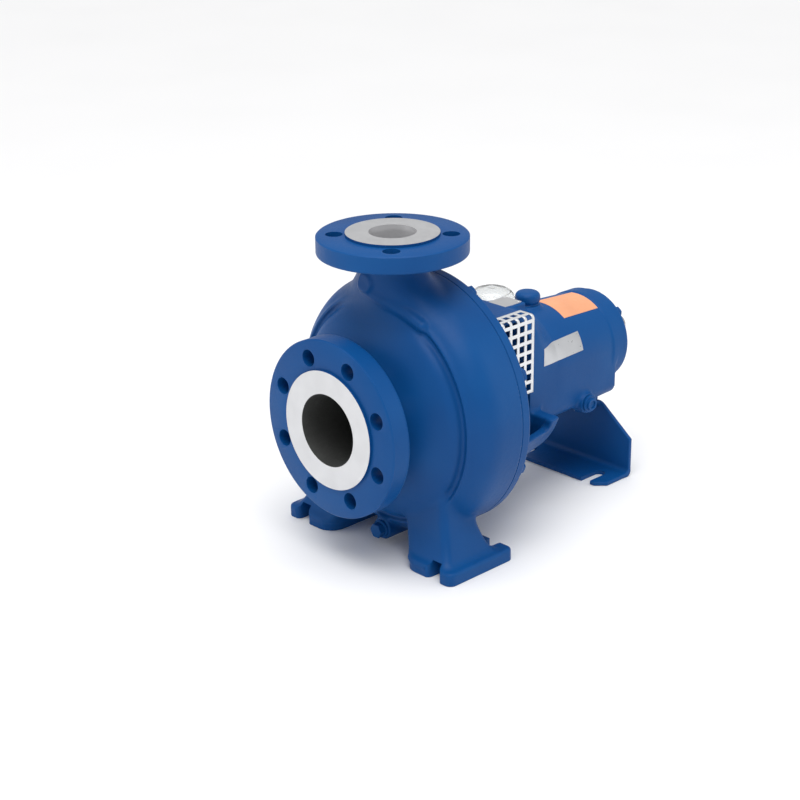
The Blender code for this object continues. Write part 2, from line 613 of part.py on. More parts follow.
def impeller():
    """Closed impeller: two shrouds joined by six back-swept vanes."""
    front, back = -0.0050, 0.0125
    rear = [(-0.0130, 0.0113), (-0.0130, 0.0180), (0.0010, 0.0230), (0.0095, 0.0400),
            (0.0095, IMPELLER_RADIUS), (back + 0.0015, IMPELLER_RADIUS), (back + 0.0015, 0.0458),
            (0.0270, 0.0458), (0.0270, 0.0420), (back + 0.0015, 0.0420), (back + 0.0015, 0.0200),
            (0.0265, 0.0185), (0.0265, 0.0113)]
    wheel = turned("impeller", rear, IRON, steps=RING_STEPS)
    shroud = turned("front_shroud", [(-0.0330, 0.0410), (-0.0330, 0.0458), (-0.0150, 0.0458),
                                     (-0.0085, 0.0600), (front, IMPELLER_RADIUS),
                                     (front + 0.0035, IMPELLER_RADIUS), (-0.0045, 0.0600),
                                     (-0.0105, 0.0430), (-0.0200, 0.0400)], group=CUTTERS, steps=RING_STEPS)
    join(wheel, shroud)
    vanes, spans = 6, 6
    for i in range(vanes):
        start = math.tau * i / vanes
        outline = []
        for side, edge in ((1, range(spans + 1)), (-1, range(spans, -1, -1))):
            for j in edge:
                part = j / spans
                radius = 0.038 + (IMPELLER_RADIUS - 0.0405) * part
                angle = start - 1.15 * part
                width = side * (0.0022 + 0.0008 * part)
                outline.append((radius * math.cos(angle) - width * math.sin(angle),
                                radius * math.sin(angle) + width * math.cos(angle)))
        vane = plate(f"vane_{i}", outline, 0.0170, group=CUTTERS)
        join(wheel, stand(vane, 0.0035))
    cut(wheel, box("cut_hub_keyway", (-0.0140, -0.0031, 0.0090), (0.0280, 0.0031, 0.0138),
                   group=CUTTERS))
    return wheel


def rotor_small_parts():
    """Nut, lock washer, keys, sleeve and the turning half of the seal."""
    nut = hexagon("impeller_nut", -0.0270, -0.0150, 0.027, group=PARTS, paint=STEEL)
    dome = turned("nut_dome", [(-0.0255, 0), (-0.0255, 0.0120), (-0.0300, 0.0110),
                               (-0.0345, 0.0070), (-0.0360, 0)], group=CUTTERS,
                  steps=SMALL_STEPS)
    join(nut, dome)
    cut(nut, turned("cut_nut_thread", tube(-0.0312, -0.0140, 0, 0.0081), group=CUTTERS,
                    steps=SMALL_STEPS))
    turned("impeller_lock_washer", tube(-0.0147, -0.0133, 0.0081, 0.0160), STEEL, steps=SMALL_STEPS)
    box("impeller_key", (-0.0047, -0.0027, 0.0078), (0.0217, 0.0027, 0.0135), STEEL)
    box("coupling_key", (0.3433, -0.0037, 0.0083), (0.3797, 0.0037, 0.0150), STEEL)
    turned("shaft_sleeve", tube(0.0268, 0.0987, 0.0113, 0.0150), STEEL, steps=SMALL_STEPS)
    collar = [(0.0490, 0.0153), (0.0490, 0.0260), (0.0530, 0.0260), (0.0530, 0.0215),
              (0.0570, 0.0215), (0.0570, 0.0153)]
    turned("seal_collar", collar, STEEL, steps=SMALL_STEPS)
    ring = [(0.0842, 0.0153), (0.0842, 0.0200), (0.0810, 0.0200), (0.0810, 0.0250),
            (0.0710, 0.0250), (0.0710, 0.0153)]
    turned("seal_ring", ring, CARBON, steps=SMALL_STEPS)
    turned("shaft_thrower", [(0.1400, 0.0124), (0.1400, 0.0165), (0.1440, 0.0215),
                             (0.1480, 0.0215), (0.1480, 0.0124)], RUBBER, steps=SMALL_STEPS)
    clip = turned("shaft_circlip", tube(0.3075, 0.3089, 0.0112, 0.0150), STEEL, steps=SMALL_STEPS)
    cut(clip, box("cut_clip_gap", (0.3050, -0.0030, 0.0050), (0.3110, 0.0030, 0.0200),
                  group=CUTTERS))


def seal_spring():
    """The coil that presses the turning seal ring against its seat."""
    coils, per_turn, x0, x1, radius, wire = 3, 12, 0.0546, 0.0694, 0.0236, 0.0010
    curve = bpy.data.curves.new("seal_spring", "CURVE")
    curve.dimensions = "3D"
    curve.bevel_depth = wire
    curve.bevel_resolution = 1
    curve.use_fill_caps = True
    curve.render_resolution_u = 0
    spline = curve.splines.new("POLY")
    count = coils * per_turn + 1
    spline.points.add(count - 1)
    for i, point in enumerate(spline.points):
        angle = math.tau * i / per_turn
        x = x0 + (x1 - x0) * i / (count - 1)
        point.co = (x, radius * math.cos(angle), radius * math.sin(angle), 1)
    path = bpy.data.objects.new("spring_path", curve)
    CUTTERS.objects.link(path)
    mesh = baked(path)
    work = bmesh.new()
    work.from_mesh(mesh)
    bmesh.ops.remove_doubles(work, verts=work.verts, dist=0.00001)
    add_object("seal_spring", mesh_from("seal_spring", work), STEEL)


# ------------------------------------------------------------------ guards
def lantern_guard(side):
    """Perforated sheet over one side window: square holes in a folded sheet."""
    hole, bar = 0.008, 0.004
    columns, rows = 7, 9
    first_x = 0.0618
    path = [(0.0485, 0.0860), (0.0670, 0.0860), (0.0700, 0.0830), (0.0700, -0.0300)]
    lengths = [0.0]
    for a, b in zip(path, path[1:]):
        lengths.append(lengths[-1] + math.dist(a, b))

    def across(distance):
        for i in range(len(path) - 1):
            if distance <= lengths[i + 1] or i == len(path) - 2:
                part = (distance - lengths[i]) / (lengths[i + 1] - lengths[i])
                y = path[i][0] + (path[i + 1][0] - path[i][0]) * part
                z = path[i][1] + (path[i + 1][1] - path[i][1]) * part
                return side * y, z

    def stops(count):
        places = [0.0]
        for _ in range(count):
            places += [places[-1] + bar, places[-1] + bar + hole]
        return places + [places[-1] + bar]

    work = bmesh.new()
    grid = []
    for down in stops(rows):
        y, z = across(down)
        grid.append([work.verts.new((first_x + along, y, z)) for along in stops(columns)])
    for j in range(len(grid) - 1):
        for i in range(len(grid[0]) - 1):
            if i % 2 == 1 and j % 2 == 1:
                continue
            work.faces.new((grid[j][i], grid[j][i + 1], grid[j + 1][i + 1], grid[j + 1][i]))
    name = "guard_near" if side < 0 else "guard_far"
    made = add_object(name, mesh_from(name, work), GALVANISED)
    sheet = made.modifiers.new("sheet", "SOLIDIFY")
    sheet.thickness = 0.0012
    sheet.offset = 0
    return made


# ------------------------------------------------------- foot, plugs and oiler
def support_foot():
    """Bent sheet foot: an upright plate, and a flange turned towards the pump."""
    thick, wide, neck = SUPPORT_THICK, SUPPORT_HALF_WIDTH, 0.030
    top, shoulder = -0.0732, -0.112
    outline = [(-wide, -SHAFT_HEIGHT), (wide, -SHAFT_HEIGHT), (wide, shoulder), (neck, top),
               (-neck, top), (-wide, shoulder)]
    upright = stand(plate("support_foot", outline, thick, PAINT), SUPPORT_X + thick / 2)
    reach = 0.264
    corner = 0.012
    inside = SUPPORT_X + 0.003
    flat = [(inside, -wide), (inside, wide), (reach + corner, wide), (reach, wide - corner),
            (reach, corner - wide), (reach + corner, -wide)]
    flange_plate = plate("foot_flange", flat, thick, group=CUTTERS)
    flange_plate.location = DATUM + Vector((0, 0, thick / 2 - SHAFT_HEIGHT))
    shelf = box("foot_shelf", (0.277, -neck, -0.0780), (inside, neck, top), group=CUTTERS)
    join(upright, flange_plate, shelf)
    for side in (-1, 1):
        outline = [(-u, v) for u, v in slot_outline(SLOT_RADIUS, 0.045)]
        slot = plate(f"cut_foot_slot_{side}", outline, 0.040, group=CUTTERS)
        slot.location = DATUM + Vector((SUPPORT_SLOT_X, side * SUPPORT_SLOT_Y, -SHAFT_HEIGHT))
        cut(upright, slot)
        hole = turned(f"cut_shelf_hole_{side}", tube(-0.020, 0.020, 0, 0.0055), group=CUTTERS,
                      steps=HOLE_STEPS, axis=(0, 0, 1),
                      at=(FOOT_SCREW_X, side * FOOT_SCREW_Y, -0.075))
        cut(upright, hole)
    return upright


def hex_screw_mesh(name, length, shank, flats, head):
    """A hexagon screw: the shank runs along -x from under its head at 0."""
    screw = hexagon(name, 0, head, flats, group=CUTTERS)
    join(screw, turned(name + "_shank", tube(-length, head / 2, 0, shank), group=CUTTERS, steps=10))
    mesh = baked(screw)
    mesh.materials.append(PAINT)
    return mesh


def screw_ring(name, mesh, face, circle, count, way):
    """Copies of a screw round the shaft, their heads standing on face and facing way."""
    for i in range(count):
        screw = add_object(f"{name}_{i + 1}", mesh)
        point_axis(screw, (way, 0, 0), on_circle(circle, math.tau * (i + 0.5) / count, face))


def screws():
    """Hexagon screws: casing ring, both bearing covers and the support foot."""
    flats, height = M10_HEAD["flats"], M10_HEAD["height"]
    casing = hex_screw_mesh("casing_screw", 0.036, M10_SHANK, flats, height)
    screw_ring("casing_screw", casing, FLANGE_BACK + GAP, BOLT_CIRCLE, BOLT_COUNT, 1)
    inboard = hex_screw_mesh("inboard_cover_screw", 0.014, 0.0025, 0.008, 0.0035)
    screw_ring("inboard_cover_screw", inboard, 0.1597, INBOARD_CIRCLE, COVER_SCREWS, -1)
    outboard = hex_screw_mesh("outboard_cover_screw", 0.024, 0.0040, 0.013, 0.0053)
    screw_ring("outboard_cover_screw", outboard, 0.3348, OUTBOARD_CIRCLE, COVER_SCREWS, 1)
    foot = hex_screw_mesh("support_foot_screw", 0.018, M10_SHANK, flats, height)
    for i, side in enumerate((-1, 1)):
        screw = add_object(f"support_foot_screw_{i + 1}", foot)
        point_axis(screw, (0, 0, -1), (FOOT_SCREW_X, side * FOOT_SCREW_Y, -0.0783))


def plugs():
    """Drain plug under the casing, breather on the housing, and oil level plug."""
    face = DRAIN_FACE - GAP
    drain_at = (0, 0, DRAIN_Z)
    drain = hexagon("drain_plug", face - 0.0105, face - 0.0030, 0.015, group=PARTS, paint=PAINT)
    drain.location = DATUM + Vector(drain_at)
    join(drain, turned("drain_collar", tube(face - 0.0035, face, 0, 0.0105), group=CUTTERS,
                       steps=SMALL_STEPS, at=drain_at))
    join(drain, turned("drain_thread", tube(face - 0.0010, face + 0.0180, 0, 0.0058),
                       group=CUTTERS, steps=HOLE_STEPS, at=drain_at))
    cap = [(0.0825, 0), (0.0825, 0.0095), (0.0810, 0.0130), (0.0765, 0.0147), (0.0710, 0.0147),
           (0.0690, 0.0137), (0.0668, 0.0137), (0.0668, 0.0075), (0.0460, 0.0075), (0.0460, 0)]
    turned("vent_plug", cap, PAINT, steps=SMALL_STEPS, axis=(0, 0, 1), at=(VENT_X, 0, 0))
    level = turned("level_plug", tube(0.0668, 0.0700, 0, 0.0105), PAINT, steps=SMALL_STEPS,
                   axis=(0, -1, 0), at=LEVEL_AT)
    join(level, turned("level_thread", tube(0.0530, 0.0675, 0, 0.0070), group=CUTTERS,
                       steps=HOLE_STEPS, axis=(0, -1, 0), at=LEVEL_AT))
    join(level, turned("level_head", tube(0.0690, 0.0735, 0, 0.0075), group=CUTTERS, steps=6,
                       axis=(0, -1, 0), at=LEVEL_AT))


def constant_level_oiler():
    """Elbow in the housing, a seat that tips down for filling, and its bottle."""
    pipe_at, cup_at = (OILER_X, 0, OILER_Z), (OILER_X, OILER_Y, 0)
    elbow = turned("oiler_elbow", tube(0.0400, 0.0790, 0, 0.0060), STEEL, steps=SMALL_STEPS,
                   axis=(0, 1, 0), at=pipe_at)
    join(elbow, turned("elbow_nut", tube(0.0684, 0.0740, 0, 0.0100), group=CUTTERS, steps=6,
                       axis=(0, 1, 0), at=pipe_at))
    seat = [(0.0030, 0), (0.0030, 0.0210), (-0.0150, 0.0210), (-0.0400, 0.0170), (-0.0400, 0)]
    turned("oiler_cup", seat, PAINT, steps=SMALL_STEPS, axis=(0, 0, 1), at=cup_at)
    bottle = [(0.0033, 0), (0.0033, 0.0180), (0.0080, 0.0220), (0.0150, 0.0290), (0.0380, 0.0290),
              (0.0455, 0.0260), (0.0505, 0.0180), (0.0525, 0.0080), (0.0530, 0)]
    turned("oiler_bottle", bottle, CLEAR, steps=SMALL_STEPS, axis=(0, 0, 1), at=cup_at)


def rating_plate():
    low = (0.1555, -0.0135, PLATE_LAND + 2 * GAP)
    box("rating_plate", low, (0.1915, 0.0135, low[2] + 0.0008), STEEL)


def build():
    volute_casing()
    casing_cover()
    fixed_rings()
    bearing_bracket()
    bearing_covers()
    lip_seals()
    for end, (x0, x1) in BEARINGS.items():
        ball_bearing(end, x0, x1)
    pump_shaft()
    impeller()
    rotor_small_parts()
    seal_spring()
    for side in (-1, 1):
        lantern_guard(side)
    support_foot()
    screws()
    plugs()
    constant_level_oiler()
    rating_plate()


build()
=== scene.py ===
import json
import math

import bmesh
import bpy
import numpy as np
from mathutils import Matrix, Vector


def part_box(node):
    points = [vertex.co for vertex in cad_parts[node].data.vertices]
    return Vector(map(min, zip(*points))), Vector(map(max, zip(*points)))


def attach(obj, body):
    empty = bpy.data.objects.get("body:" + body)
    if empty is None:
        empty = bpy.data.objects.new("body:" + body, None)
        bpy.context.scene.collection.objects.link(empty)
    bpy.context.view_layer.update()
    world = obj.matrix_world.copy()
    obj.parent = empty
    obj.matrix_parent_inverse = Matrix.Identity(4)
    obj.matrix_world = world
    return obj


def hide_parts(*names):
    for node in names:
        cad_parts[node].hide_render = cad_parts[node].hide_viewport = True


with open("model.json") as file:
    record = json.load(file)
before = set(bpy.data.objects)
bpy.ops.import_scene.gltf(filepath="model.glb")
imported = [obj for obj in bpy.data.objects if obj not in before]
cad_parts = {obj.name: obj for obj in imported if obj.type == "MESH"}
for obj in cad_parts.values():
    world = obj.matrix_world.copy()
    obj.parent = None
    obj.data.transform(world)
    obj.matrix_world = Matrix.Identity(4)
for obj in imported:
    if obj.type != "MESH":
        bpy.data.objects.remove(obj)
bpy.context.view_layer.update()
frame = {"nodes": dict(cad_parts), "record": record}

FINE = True

# ------------------------------------------------------------ places from the frame
# Shapes are drawn about the pump's datum, where the shaft axis crosses the
# discharge axis: x along the shaft, z up.  DATUM is that point in the frame.
MOUNTS = {m["name"]: Vector(m["pos_m"]) for m in frame["record"]["mounts"]}
JOINTS = {j["name"]: j for j in frame["record"]["behaviour"]["joints"]}
DATUM = Vector((MOUNTS["discharge_flange_face"].x, 0, JOINTS["rotor_spin"]["pos_m"][2]))
SUCTION_X = MOUNTS["suction_flange_face"].x - DATUM.x
DISCHARGE_Z = MOUNTS["discharge_flange_face"].z - DATUM.z
SHAFT_END_X = MOUNTS["shaft_end_face"].x - DATUM.x
FLOOR_Z = -DATUM.z


def node_box(node):
    """A node's lowest and highest corners about the datum."""
    low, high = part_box(node)
    return Vector(low) - DATUM, Vector(high) - DATUM


# -------------------------------------------------------------------------- fields
# A casting is a field of signed distances on a grid: shapes are blended into it
# with fillets, and its zero level is meshed.
class Field:
    def __init__(self, low, high, step):
        self.low = np.array(low, dtype=np.float64) - step
        self.step = step
        counts = np.ceil((np.array(high) - self.low) / step).astype(int) + 2
        self.axes = [self.low[i] + step * np.arange(counts[i]) for i in range(3)]
        self.values = np.full(counts, 0.05, dtype=np.float32)

    def window(self, low, high):
        """The part of the grid between two corners, as slices and three open axes."""
        spans = []
        for i in range(3):
            first = max(int((low[i] - self.low[i]) / self.step) - 1, 0)
            last = min(int((high[i] - self.low[i]) / self.step) + 2, len(self.axes[i]))
            spans.append(slice(first, max(last, first + 1)))
        x = self.axes[0][spans[0]][:, None, None]
        y = self.axes[1][spans[1]][None, :, None]
        z = self.axes[2][spans[2]][None, None, :]
        return tuple(spans), x, y, z

    def blend(self, shape, low, high, fillet=0.002, take_away=False):
        """Adds a shape, or takes it away, with a fillet of about that radius."""
        reach = max(fillet * 2, 0.004)
        low = [v - reach for v in low]
        high = [v + reach for v in high]
        spans, x, y, z = self.window(low, high)
        new = shape(x, y, z).astype(np.float32)
        old = self.values[spans]
        sign = -1.0 if take_away else 1.0
        a, b = sign * old, new
        h = np.clip(0.5 + 0.5 * (a - b) / fillet, 0, 1)
        mixed = a * (1 - h) + b * h - fillet * h * (1 - h)
        self.values[spans] = sign * mixed

    def add(self, shape, low, high, fillet=0.002):
        self.blend(shape, low, high, fillet)

    def remove(self, shape, low, high, fillet=0.002):
        self.blend(shape, low, high, fillet, take_away=True)

    def keep(self, shape, fillet=0.001):
        """Takes away all that lies outside a shape."""
        ends = [(axis[0], axis[-1]) for axis in self.axes]
        low, high = zip(*ends)
        self.remove(lambda x, y, z: -shape(x, y, z), low, high, fillet)

    def mesh(self, name):
        """Surface nets: one vertex in each cell that the surface passes through."""
        v = self.values
        for axis in range(3):
            ends = np.moveaxis(v, axis, 0)
            ends[0] = np.maximum(ends[0], 0.0001)
            ends[-1] = np.maximum(ends[-1], 0.0001)
        inside = v < 0
        cells = tuple(n - 1 for n in v.shape)
        corners = [(i, j, k) for i in (0, 1) for j in (0, 1) for k in (0, 1)]
        total = np.zeros(cells, dtype=np.int8)
        for i, j, k in corners:
            total += inside[i:i + cells[0], j:j + cells[1], k:k + cells[2]]
        index = np.argwhere((total > 0) & (total < 8))
        at = [v[index[:, 0] + i, index[:, 1] + j, index[:, 2] + k] for i, j, k in corners]
        where = np.zeros((len(index), 3))
        count = np.zeros(len(index))
        for p in range(8):
            for axis in range(3):
                if corners[p][axis]:
                    continue
                q = p + (4, 2, 1)[axis]
                cross = (at[p] < 0) != (at[q] < 0)
                part = np.where(cross, at[p] / np.where(cross, at[p] - at[q], 1), 0)
                spot = np.array(corners[p], dtype=float)[None, :] * cross[:, None]
                spot[:, axis] += part
                where += spot
                count += cross
        points = self.low + (index + where / count[:, None]) * self.step
        ids = np.full(cells, -1, dtype=np.int32)
        ids[index[:, 0], index[:, 1], index[:, 2]] = np.arange(len(index))
        faces = []
        for axis in range(3):
            u, w = (axis + 1) % 3, (axis + 2) % 3
            first = [slice(None)] * 3
            second = [slice(None)] * 3
            first[axis], second[axis] = slice(0, -1), slice(1, None)
            start, end = inside[tuple(first)], inside[tuple(second)]
            edge = np.argwhere(start != end)
            edge = edge[(edge[:, u] > 0) & (edge[:, w] > 0)]
            out = start[edge[:, 0], edge[:, 1], edge[:, 2]]
            around = []
            for du, dw in ((-1, -1), (0, -1), (0, 0), (-1, 0)):
                cell = edge.copy()
                cell[:, u] += du
                cell[:, w] += dw
                around.append(ids[cell[:, 0], cell[:, 1], cell[:, 2]])
            quad = np.stack(around, axis=1)
            quad[~out] = quad[~out][:, ::-1]
            faces.append(quad)
        faces = np.concatenate(faces)
        made = bpy.data.meshes.new(name)
        made.vertices.add(len(points))
        made.vertices.foreach_set("co", self.settled(points, faces).astype(np.float32).ravel())
        made.loops.add(faces.size)
        made.loops.foreach_set("vertex_index", faces.ravel().astype(np.int32))
        made.polygons.add(len(faces))
        made.polygons.foreach_set("loop_start", np.arange(0, faces.size, 4, dtype=np.int32))
        made.update(calc_edges=True)
        made.validate()
        return made

    def sample(self, points):
        """The field and its slope at points, read between the grid's values."""
        place = (points - self.low) / self.step
        cell = np.clip(np.floor(place).astype(int), 0, np.array(self.values.shape) - 2)
        part = place - cell
        corner = {}
        for i in (0, 1):
            for j in (0, 1):
                for k in (0, 1):
                    corner[i, j, k] = self.values[cell[:, 0] + i, cell[:, 1] + j, cell[:, 2] + k]
        x, y, z = part.T

        def mix(a, b, t):
            return a + (b - a) * t
        front = mix(mix(corner[0, 0, 0], corner[0, 0, 1], z), mix(corner[0, 1, 0], corner[0, 1, 1], z), y)
        back = mix(mix(corner[1, 0, 0], corner[1, 0, 1], z), mix(corner[1, 1, 0], corner[1, 1, 1], z), y)
        near = mix(mix(corner[0, 0, 0], corner[0, 0, 1], z), mix(corner[1, 0, 0], corner[1, 0, 1], z), x)
        far = mix(mix(corner[0, 1, 0], corner[0, 1, 1], z), mix(corner[1, 1, 0], corner[1, 1, 1], z), x)
        low = mix(mix(corner[0, 0, 0], corner[0, 1, 0], y), mix(corner[1, 0, 0], corner[1, 1, 0], y), x)
        high = mix(mix(corner[0, 0, 1], corner[0, 1, 1], y), mix(corner[1, 0, 1], corner[1, 1, 1], y), x)
        slope = np.stack([back - front, far - near, high - low], axis=1) / self.step
        return mix(front, back, x), slope

    def settled(self, points, faces, rounds=3):
        """Evens out the net, then draws its points back onto the zero level."""
        for _ in range(rounds):
            total = np.zeros_like(points)
            count = np.zeros(len(points))
            for a in range(4):
                for b in (1, 3):
                    np.add.at(total, faces[:, a], points[faces[:, (a + b) % 4]])
                    np.add.at(count, faces[:, a], 1)
            even = points + 0.5 * (total / count[:, None] - points)
            for _ in range(2):
                value, slope = self.sample(even)
                length = np.maximum((slope ** 2).sum(axis=1), 0.2)
                even = even - slope * (value / length)[:, None]
            points = even
        return points


def outline_distance(points, u, v):
    """Signed distance to a closed outline, negative inside it."""
    best = np.full(np.broadcast(u, v).shape, 1e9)
    flips = np.zeros(best.shape, dtype=bool)
    for (ax, ay), (bx, by) in zip(points, points[1:] + points[:1]):
        ex, ey = bx - ax, by - ay
        t = np.clip(((u - ax) * ex + (v - ay) * ey) / (ex * ex + ey * ey), 0, 1)
        best = np.minimum(best, (u - ax - t * ex) ** 2 + (v - ay - t * ey) ** 2)
        crossing = (ay <= v) != (by <= v)
        side = (bx - ax) * (v - ay) - (u - ax) * (by - ay)
        flips ^= crossing & ((side > 0) == (by > ay))
    return np.where(flips, -1, 1) * np.sqrt(best)


def spun(points, rounding=0.0):
    """A turned shape about the shaft axis, from (x, radius) points."""
    radii = np.arange(0, 0.2, 0.00025)

    def shape(x, y, z):
        r = np.sqrt(y ** 2 + z ** 2)
        table = outline_distance(points, x.reshape(-1, 1), radii[None, :])
        rows = [np.interp(r.ravel(), radii, row).reshape(1, *r.shape[1:]) for row in table]
        return np.concatenate(rows) - rounding
    return shape


def spun_up(points, cx=0.0, cy=0.0, rounding=0.0):
    """A turned shape about an upright axis, from (z, radius) points."""
    radii = np.arange(0, 0.2, 0.00025)

    def shape(x, y, z):
        r = np.sqrt((x - cx) ** 2 + (y - cy) ** 2)
        table = outline_distance(points, z.reshape(-1, 1), radii[None, :])
        rows = [np.interp(r.ravel(), radii, row).reshape(r.shape) for row in table]
        return np.concatenate(rows, axis=2) - rounding
    return shape


def block(low, high, rounding=0.002):
    """A box with rounded edges."""
    low, high = np.array(low), np.array(high)
    centre, half = (low + high) / 2, (high - low) / 2 - rounding

    def shape(x, y, z):
        q = [np.abs(p - c) - h for p, c, h in zip((x, y, z), centre, half)]
        outside = np.sqrt(sum(np.maximum(p, 0) ** 2 for p in q))
        inside = np.minimum(np.maximum(np.maximum(q[0], q[1]), q[2]), 0)
        return outside + inside - rounding
    return shape


def rod(start, end, radius):
    """A round-ended bar between two points."""
    a, b = np.array(start, dtype=float), np.array(end, dtype=float)
    d = b - a

    def shape(x, y, z):
        t = ((x - a[0]) * d[0] + (y - a[1]) * d[1] + (z - a[2]) * d[2]) / (d @ d)
        t = np.clip(t, 0, 1)
        gap = (x - a[0] - t * d[0]) ** 2 + (y - a[1] - t * d[1]) ** 2 + (z - a[2] - t * d[2]) ** 2
        return np.sqrt(gap) - radius
    return shape


def rope(points, radius):
    """A round bar that follows a run of points."""
    parts = [rod(a, b, radius) for a, b in zip(points, points[1:])]

    def shape(x, y, z):
        return np.minimum.reduce([part(x, y, z) for part in parts])
    return shape


def drum(centre, axis, radius, start, end, rounding=0.001):
    """A cylinder along one of the three axes, with rounded edges."""
    i = "xyz".index(axis)

    def shape(x, y, z):
        p = [x - centre[0], y - centre[1], z - centre[2]]
        along = p[i]
        across = [p[j] for j in range(3) if j != i]
        r = np.sqrt(across[0] ** 2 + across[1] ** 2) - radius + rounding
        h = np.abs(along - (start + end) / 2) - abs(end - start) / 2 + rounding
        outside = np.sqrt(np.maximum(r, 0) ** 2 + np.maximum(h, 0) ** 2)
        return outside + np.minimum(np.maximum(r, h), 0) - rounding
    return shape


def slab(points, plane, start, end, rounding=0.001):
    """An outline in a plane ('yz', 'xz' or 'xy') given thickness across it."""
    first, second = "xyz".index(plane[0]), "xyz".index(plane[1])
    across = 3 - first - second

    def shape(x, y, z):
        p = (x, y, z)
        u, v = np.broadcast_arrays(p[first], p[second])
        flat = outline_distance(points, u, v) + rounding
        thick = np.abs(p[across] - (start + end) / 2) - abs(end - start) / 2 + rounding
        outside = np.sqrt(np.maximum(flat, 0) ** 2 + np.maximum(thick, 0) ** 2)
        return outside + np.minimum(np.maximum(flat, thick), 0) - rounding
    return shape


def smooth_line(points, per_span=6):
    """A Catmull-Rom curve through an open run of points."""
    ends = [points[0]] + list(points) + [points[-1]]
    made = []
    for p0, p1, p2, p3 in zip(ends, ends[1:], ends[2:], ends[3:]):
        for i in range(per_span):
            t = i / per_span
            made.append(tuple(0.5 * (2 * b + (c - a) * t + (2 * a - 5 * b + 4 * c - d) * t * t
                                     + (3 * b - a - 3 * c + d) * t ** 3)
                              for a, b, c, d in zip(p0, p1, p2, p3)))
    return made + [tuple(points[-1])]


# -------------------------------------------------------------------------- meshes
def add_piece(name, mesh, materials=(), body="pump_frame", replaces=()):
    """An object drawn about the datum, riding on a body."""
    made = bpy.data.objects.new(name, mesh)
    bpy.context.scene.collection.objects.link(made)
    made.location = DATUM
    for paint in materials:
        mesh.materials.append(paint)
    if body:
        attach(made, body)
    if replaces:
        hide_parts(*replaces)
    return made


def smooth(mesh, angle=35):
    mesh.shade_smooth()
    mesh.set_sharp_from_angle(angle=math.radians(angle))
    return mesh


def turned_mesh(work, points, steps, place=None):
    """Spins (x, radius) points about x.  A point of radius 0 becomes a pole."""
    closed = not (points[0][1] == 0 and points[-1][1] == 0)
    around = list(points) + [points[0]]
    if sum(a[0] * b[1] - b[0] * a[1] for a, b in zip(around, around[1:])) < 0:
        points = list(reversed(points))
    place = place or Matrix.Identity(4)
    rings = []
    for x, r in points:
        if r == 0:
            rings.append([work.verts.new(place @ Vector((x, 0, 0)))])
            continue
        ring = []
        for i in range(steps):
            a = math.tau * (i + 0.31) / steps
            ring.append(work.verts.new(place @ Vector((x, r * math.cos(a), r * math.sin(a)))))
        rings.append(ring)
    pairs = list(zip(rings, rings[1:]))
    if closed:
        pairs.append((rings[-1], rings[0]))
    for a, b in pairs:
        for i in range(steps):
            j = (i + 1) % steps
            if len(a) == 1 and len(b) == 1:
                break
            if len(a) == 1:
                work.faces.new((a[0], b[i], b[j]))
            elif len(b) == 1:
                work.faces.new((a[i], b[0], a[j]))
            else:
                work.faces.new((a[i], b[i], b[j], a[j]))
    return work


def finished(name, work):
    mesh = bpy.data.meshes.new(name)
    work.normal_update()
    work.to_mesh(mesh)
    work.free()
    return smooth(mesh)


def along(axis, at=(0, 0, 0)):
    """A placing that turns +x to an axis."""
    turn = Vector((1, 0, 0)).rotation_difference(Vector(axis)).to_matrix().to_4x4()
    return Matrix.Translation(Vector(at)) @ turn


def prism(work, outline, z0, z1, place=None):
    """An outline in xy, thickened from z0 to z1, as a closed solid."""
    place = place or Matrix.Identity(4)
    area = sum(a[0] * b[1] - b[0] * a[1] for a, b in zip(outline, outline[1:] + outline[:1]))
    if area < 0:
        outline = list(reversed(outline))
    low = [work.verts.new(place @ Vector((u, v, z0))) for u, v in outline]
    high = [work.verts.new(place @ Vector((u, v, z1))) for u, v in outline]
    work.faces.new(list(reversed(low)))
    work.faces.new(high)
    for i in range(len(outline)):
        j = (i + 1) % len(outline)
        work.faces.new((low[i], low[j], high[j], high[i]))
    return work


def loft(work, rings):
    """A closed solid through a run of rings with equal counts."""
    rows = [[work.verts.new(p) for p in ring] for ring in rings]
    for row, after in zip(rows, rows[1:]):
        for i in range(len(row)):
            j = (i + 1) % len(row)
            work.faces.new((row[i], row[j], after[j], after[i]))
    work.faces.new(list(reversed(rows[0])))
    work.faces.new(rows[-1])
    return work


def cutter(name, work, materials):
    mesh = bpy.data.meshes.new(name)
    bmesh.ops.recalc_face_normals(work, faces=work.faces)
    work.to_mesh(mesh)
    work.free()
    for paint in materials:
        mesh.materials.append(paint)
    made = bpy.data.objects.new(name, mesh)
    bpy.context.scene.collection.objects.link(made)
    return made


def carve(mesh, cutters, materials):
    """Cuts a casting's mesh with closed shapes; each cut keeps its own finish."""
    holder = bpy.data.objects.new("carving", mesh)
    bpy.context.scene.collection.objects.link(holder)
    for paint in materials:
        if paint.name not in mesh.materials:
            mesh.materials.append(paint)
    for other in cutters:
        change = holder.modifiers.new(other.name, "BOOLEAN")
        change.operation = "DIFFERENCE"
        change.solver = "MANIFOLD"
        change.material_mode = "TRANSFER"
        change.object = other
    bpy.context.view_layer.update()
    ready = holder.evaluated_get(bpy.context.evaluated_depsgraph_get())
    made = bpy.data.meshes.new_from_object(ready)
    made.name = mesh.name + "_cut"
    bpy.data.objects.remove(holder, do_unlink=True)
    for other in cutters:
        bpy.data.objects.remove(other, do_unlink=True)
    return smooth(made, 40)


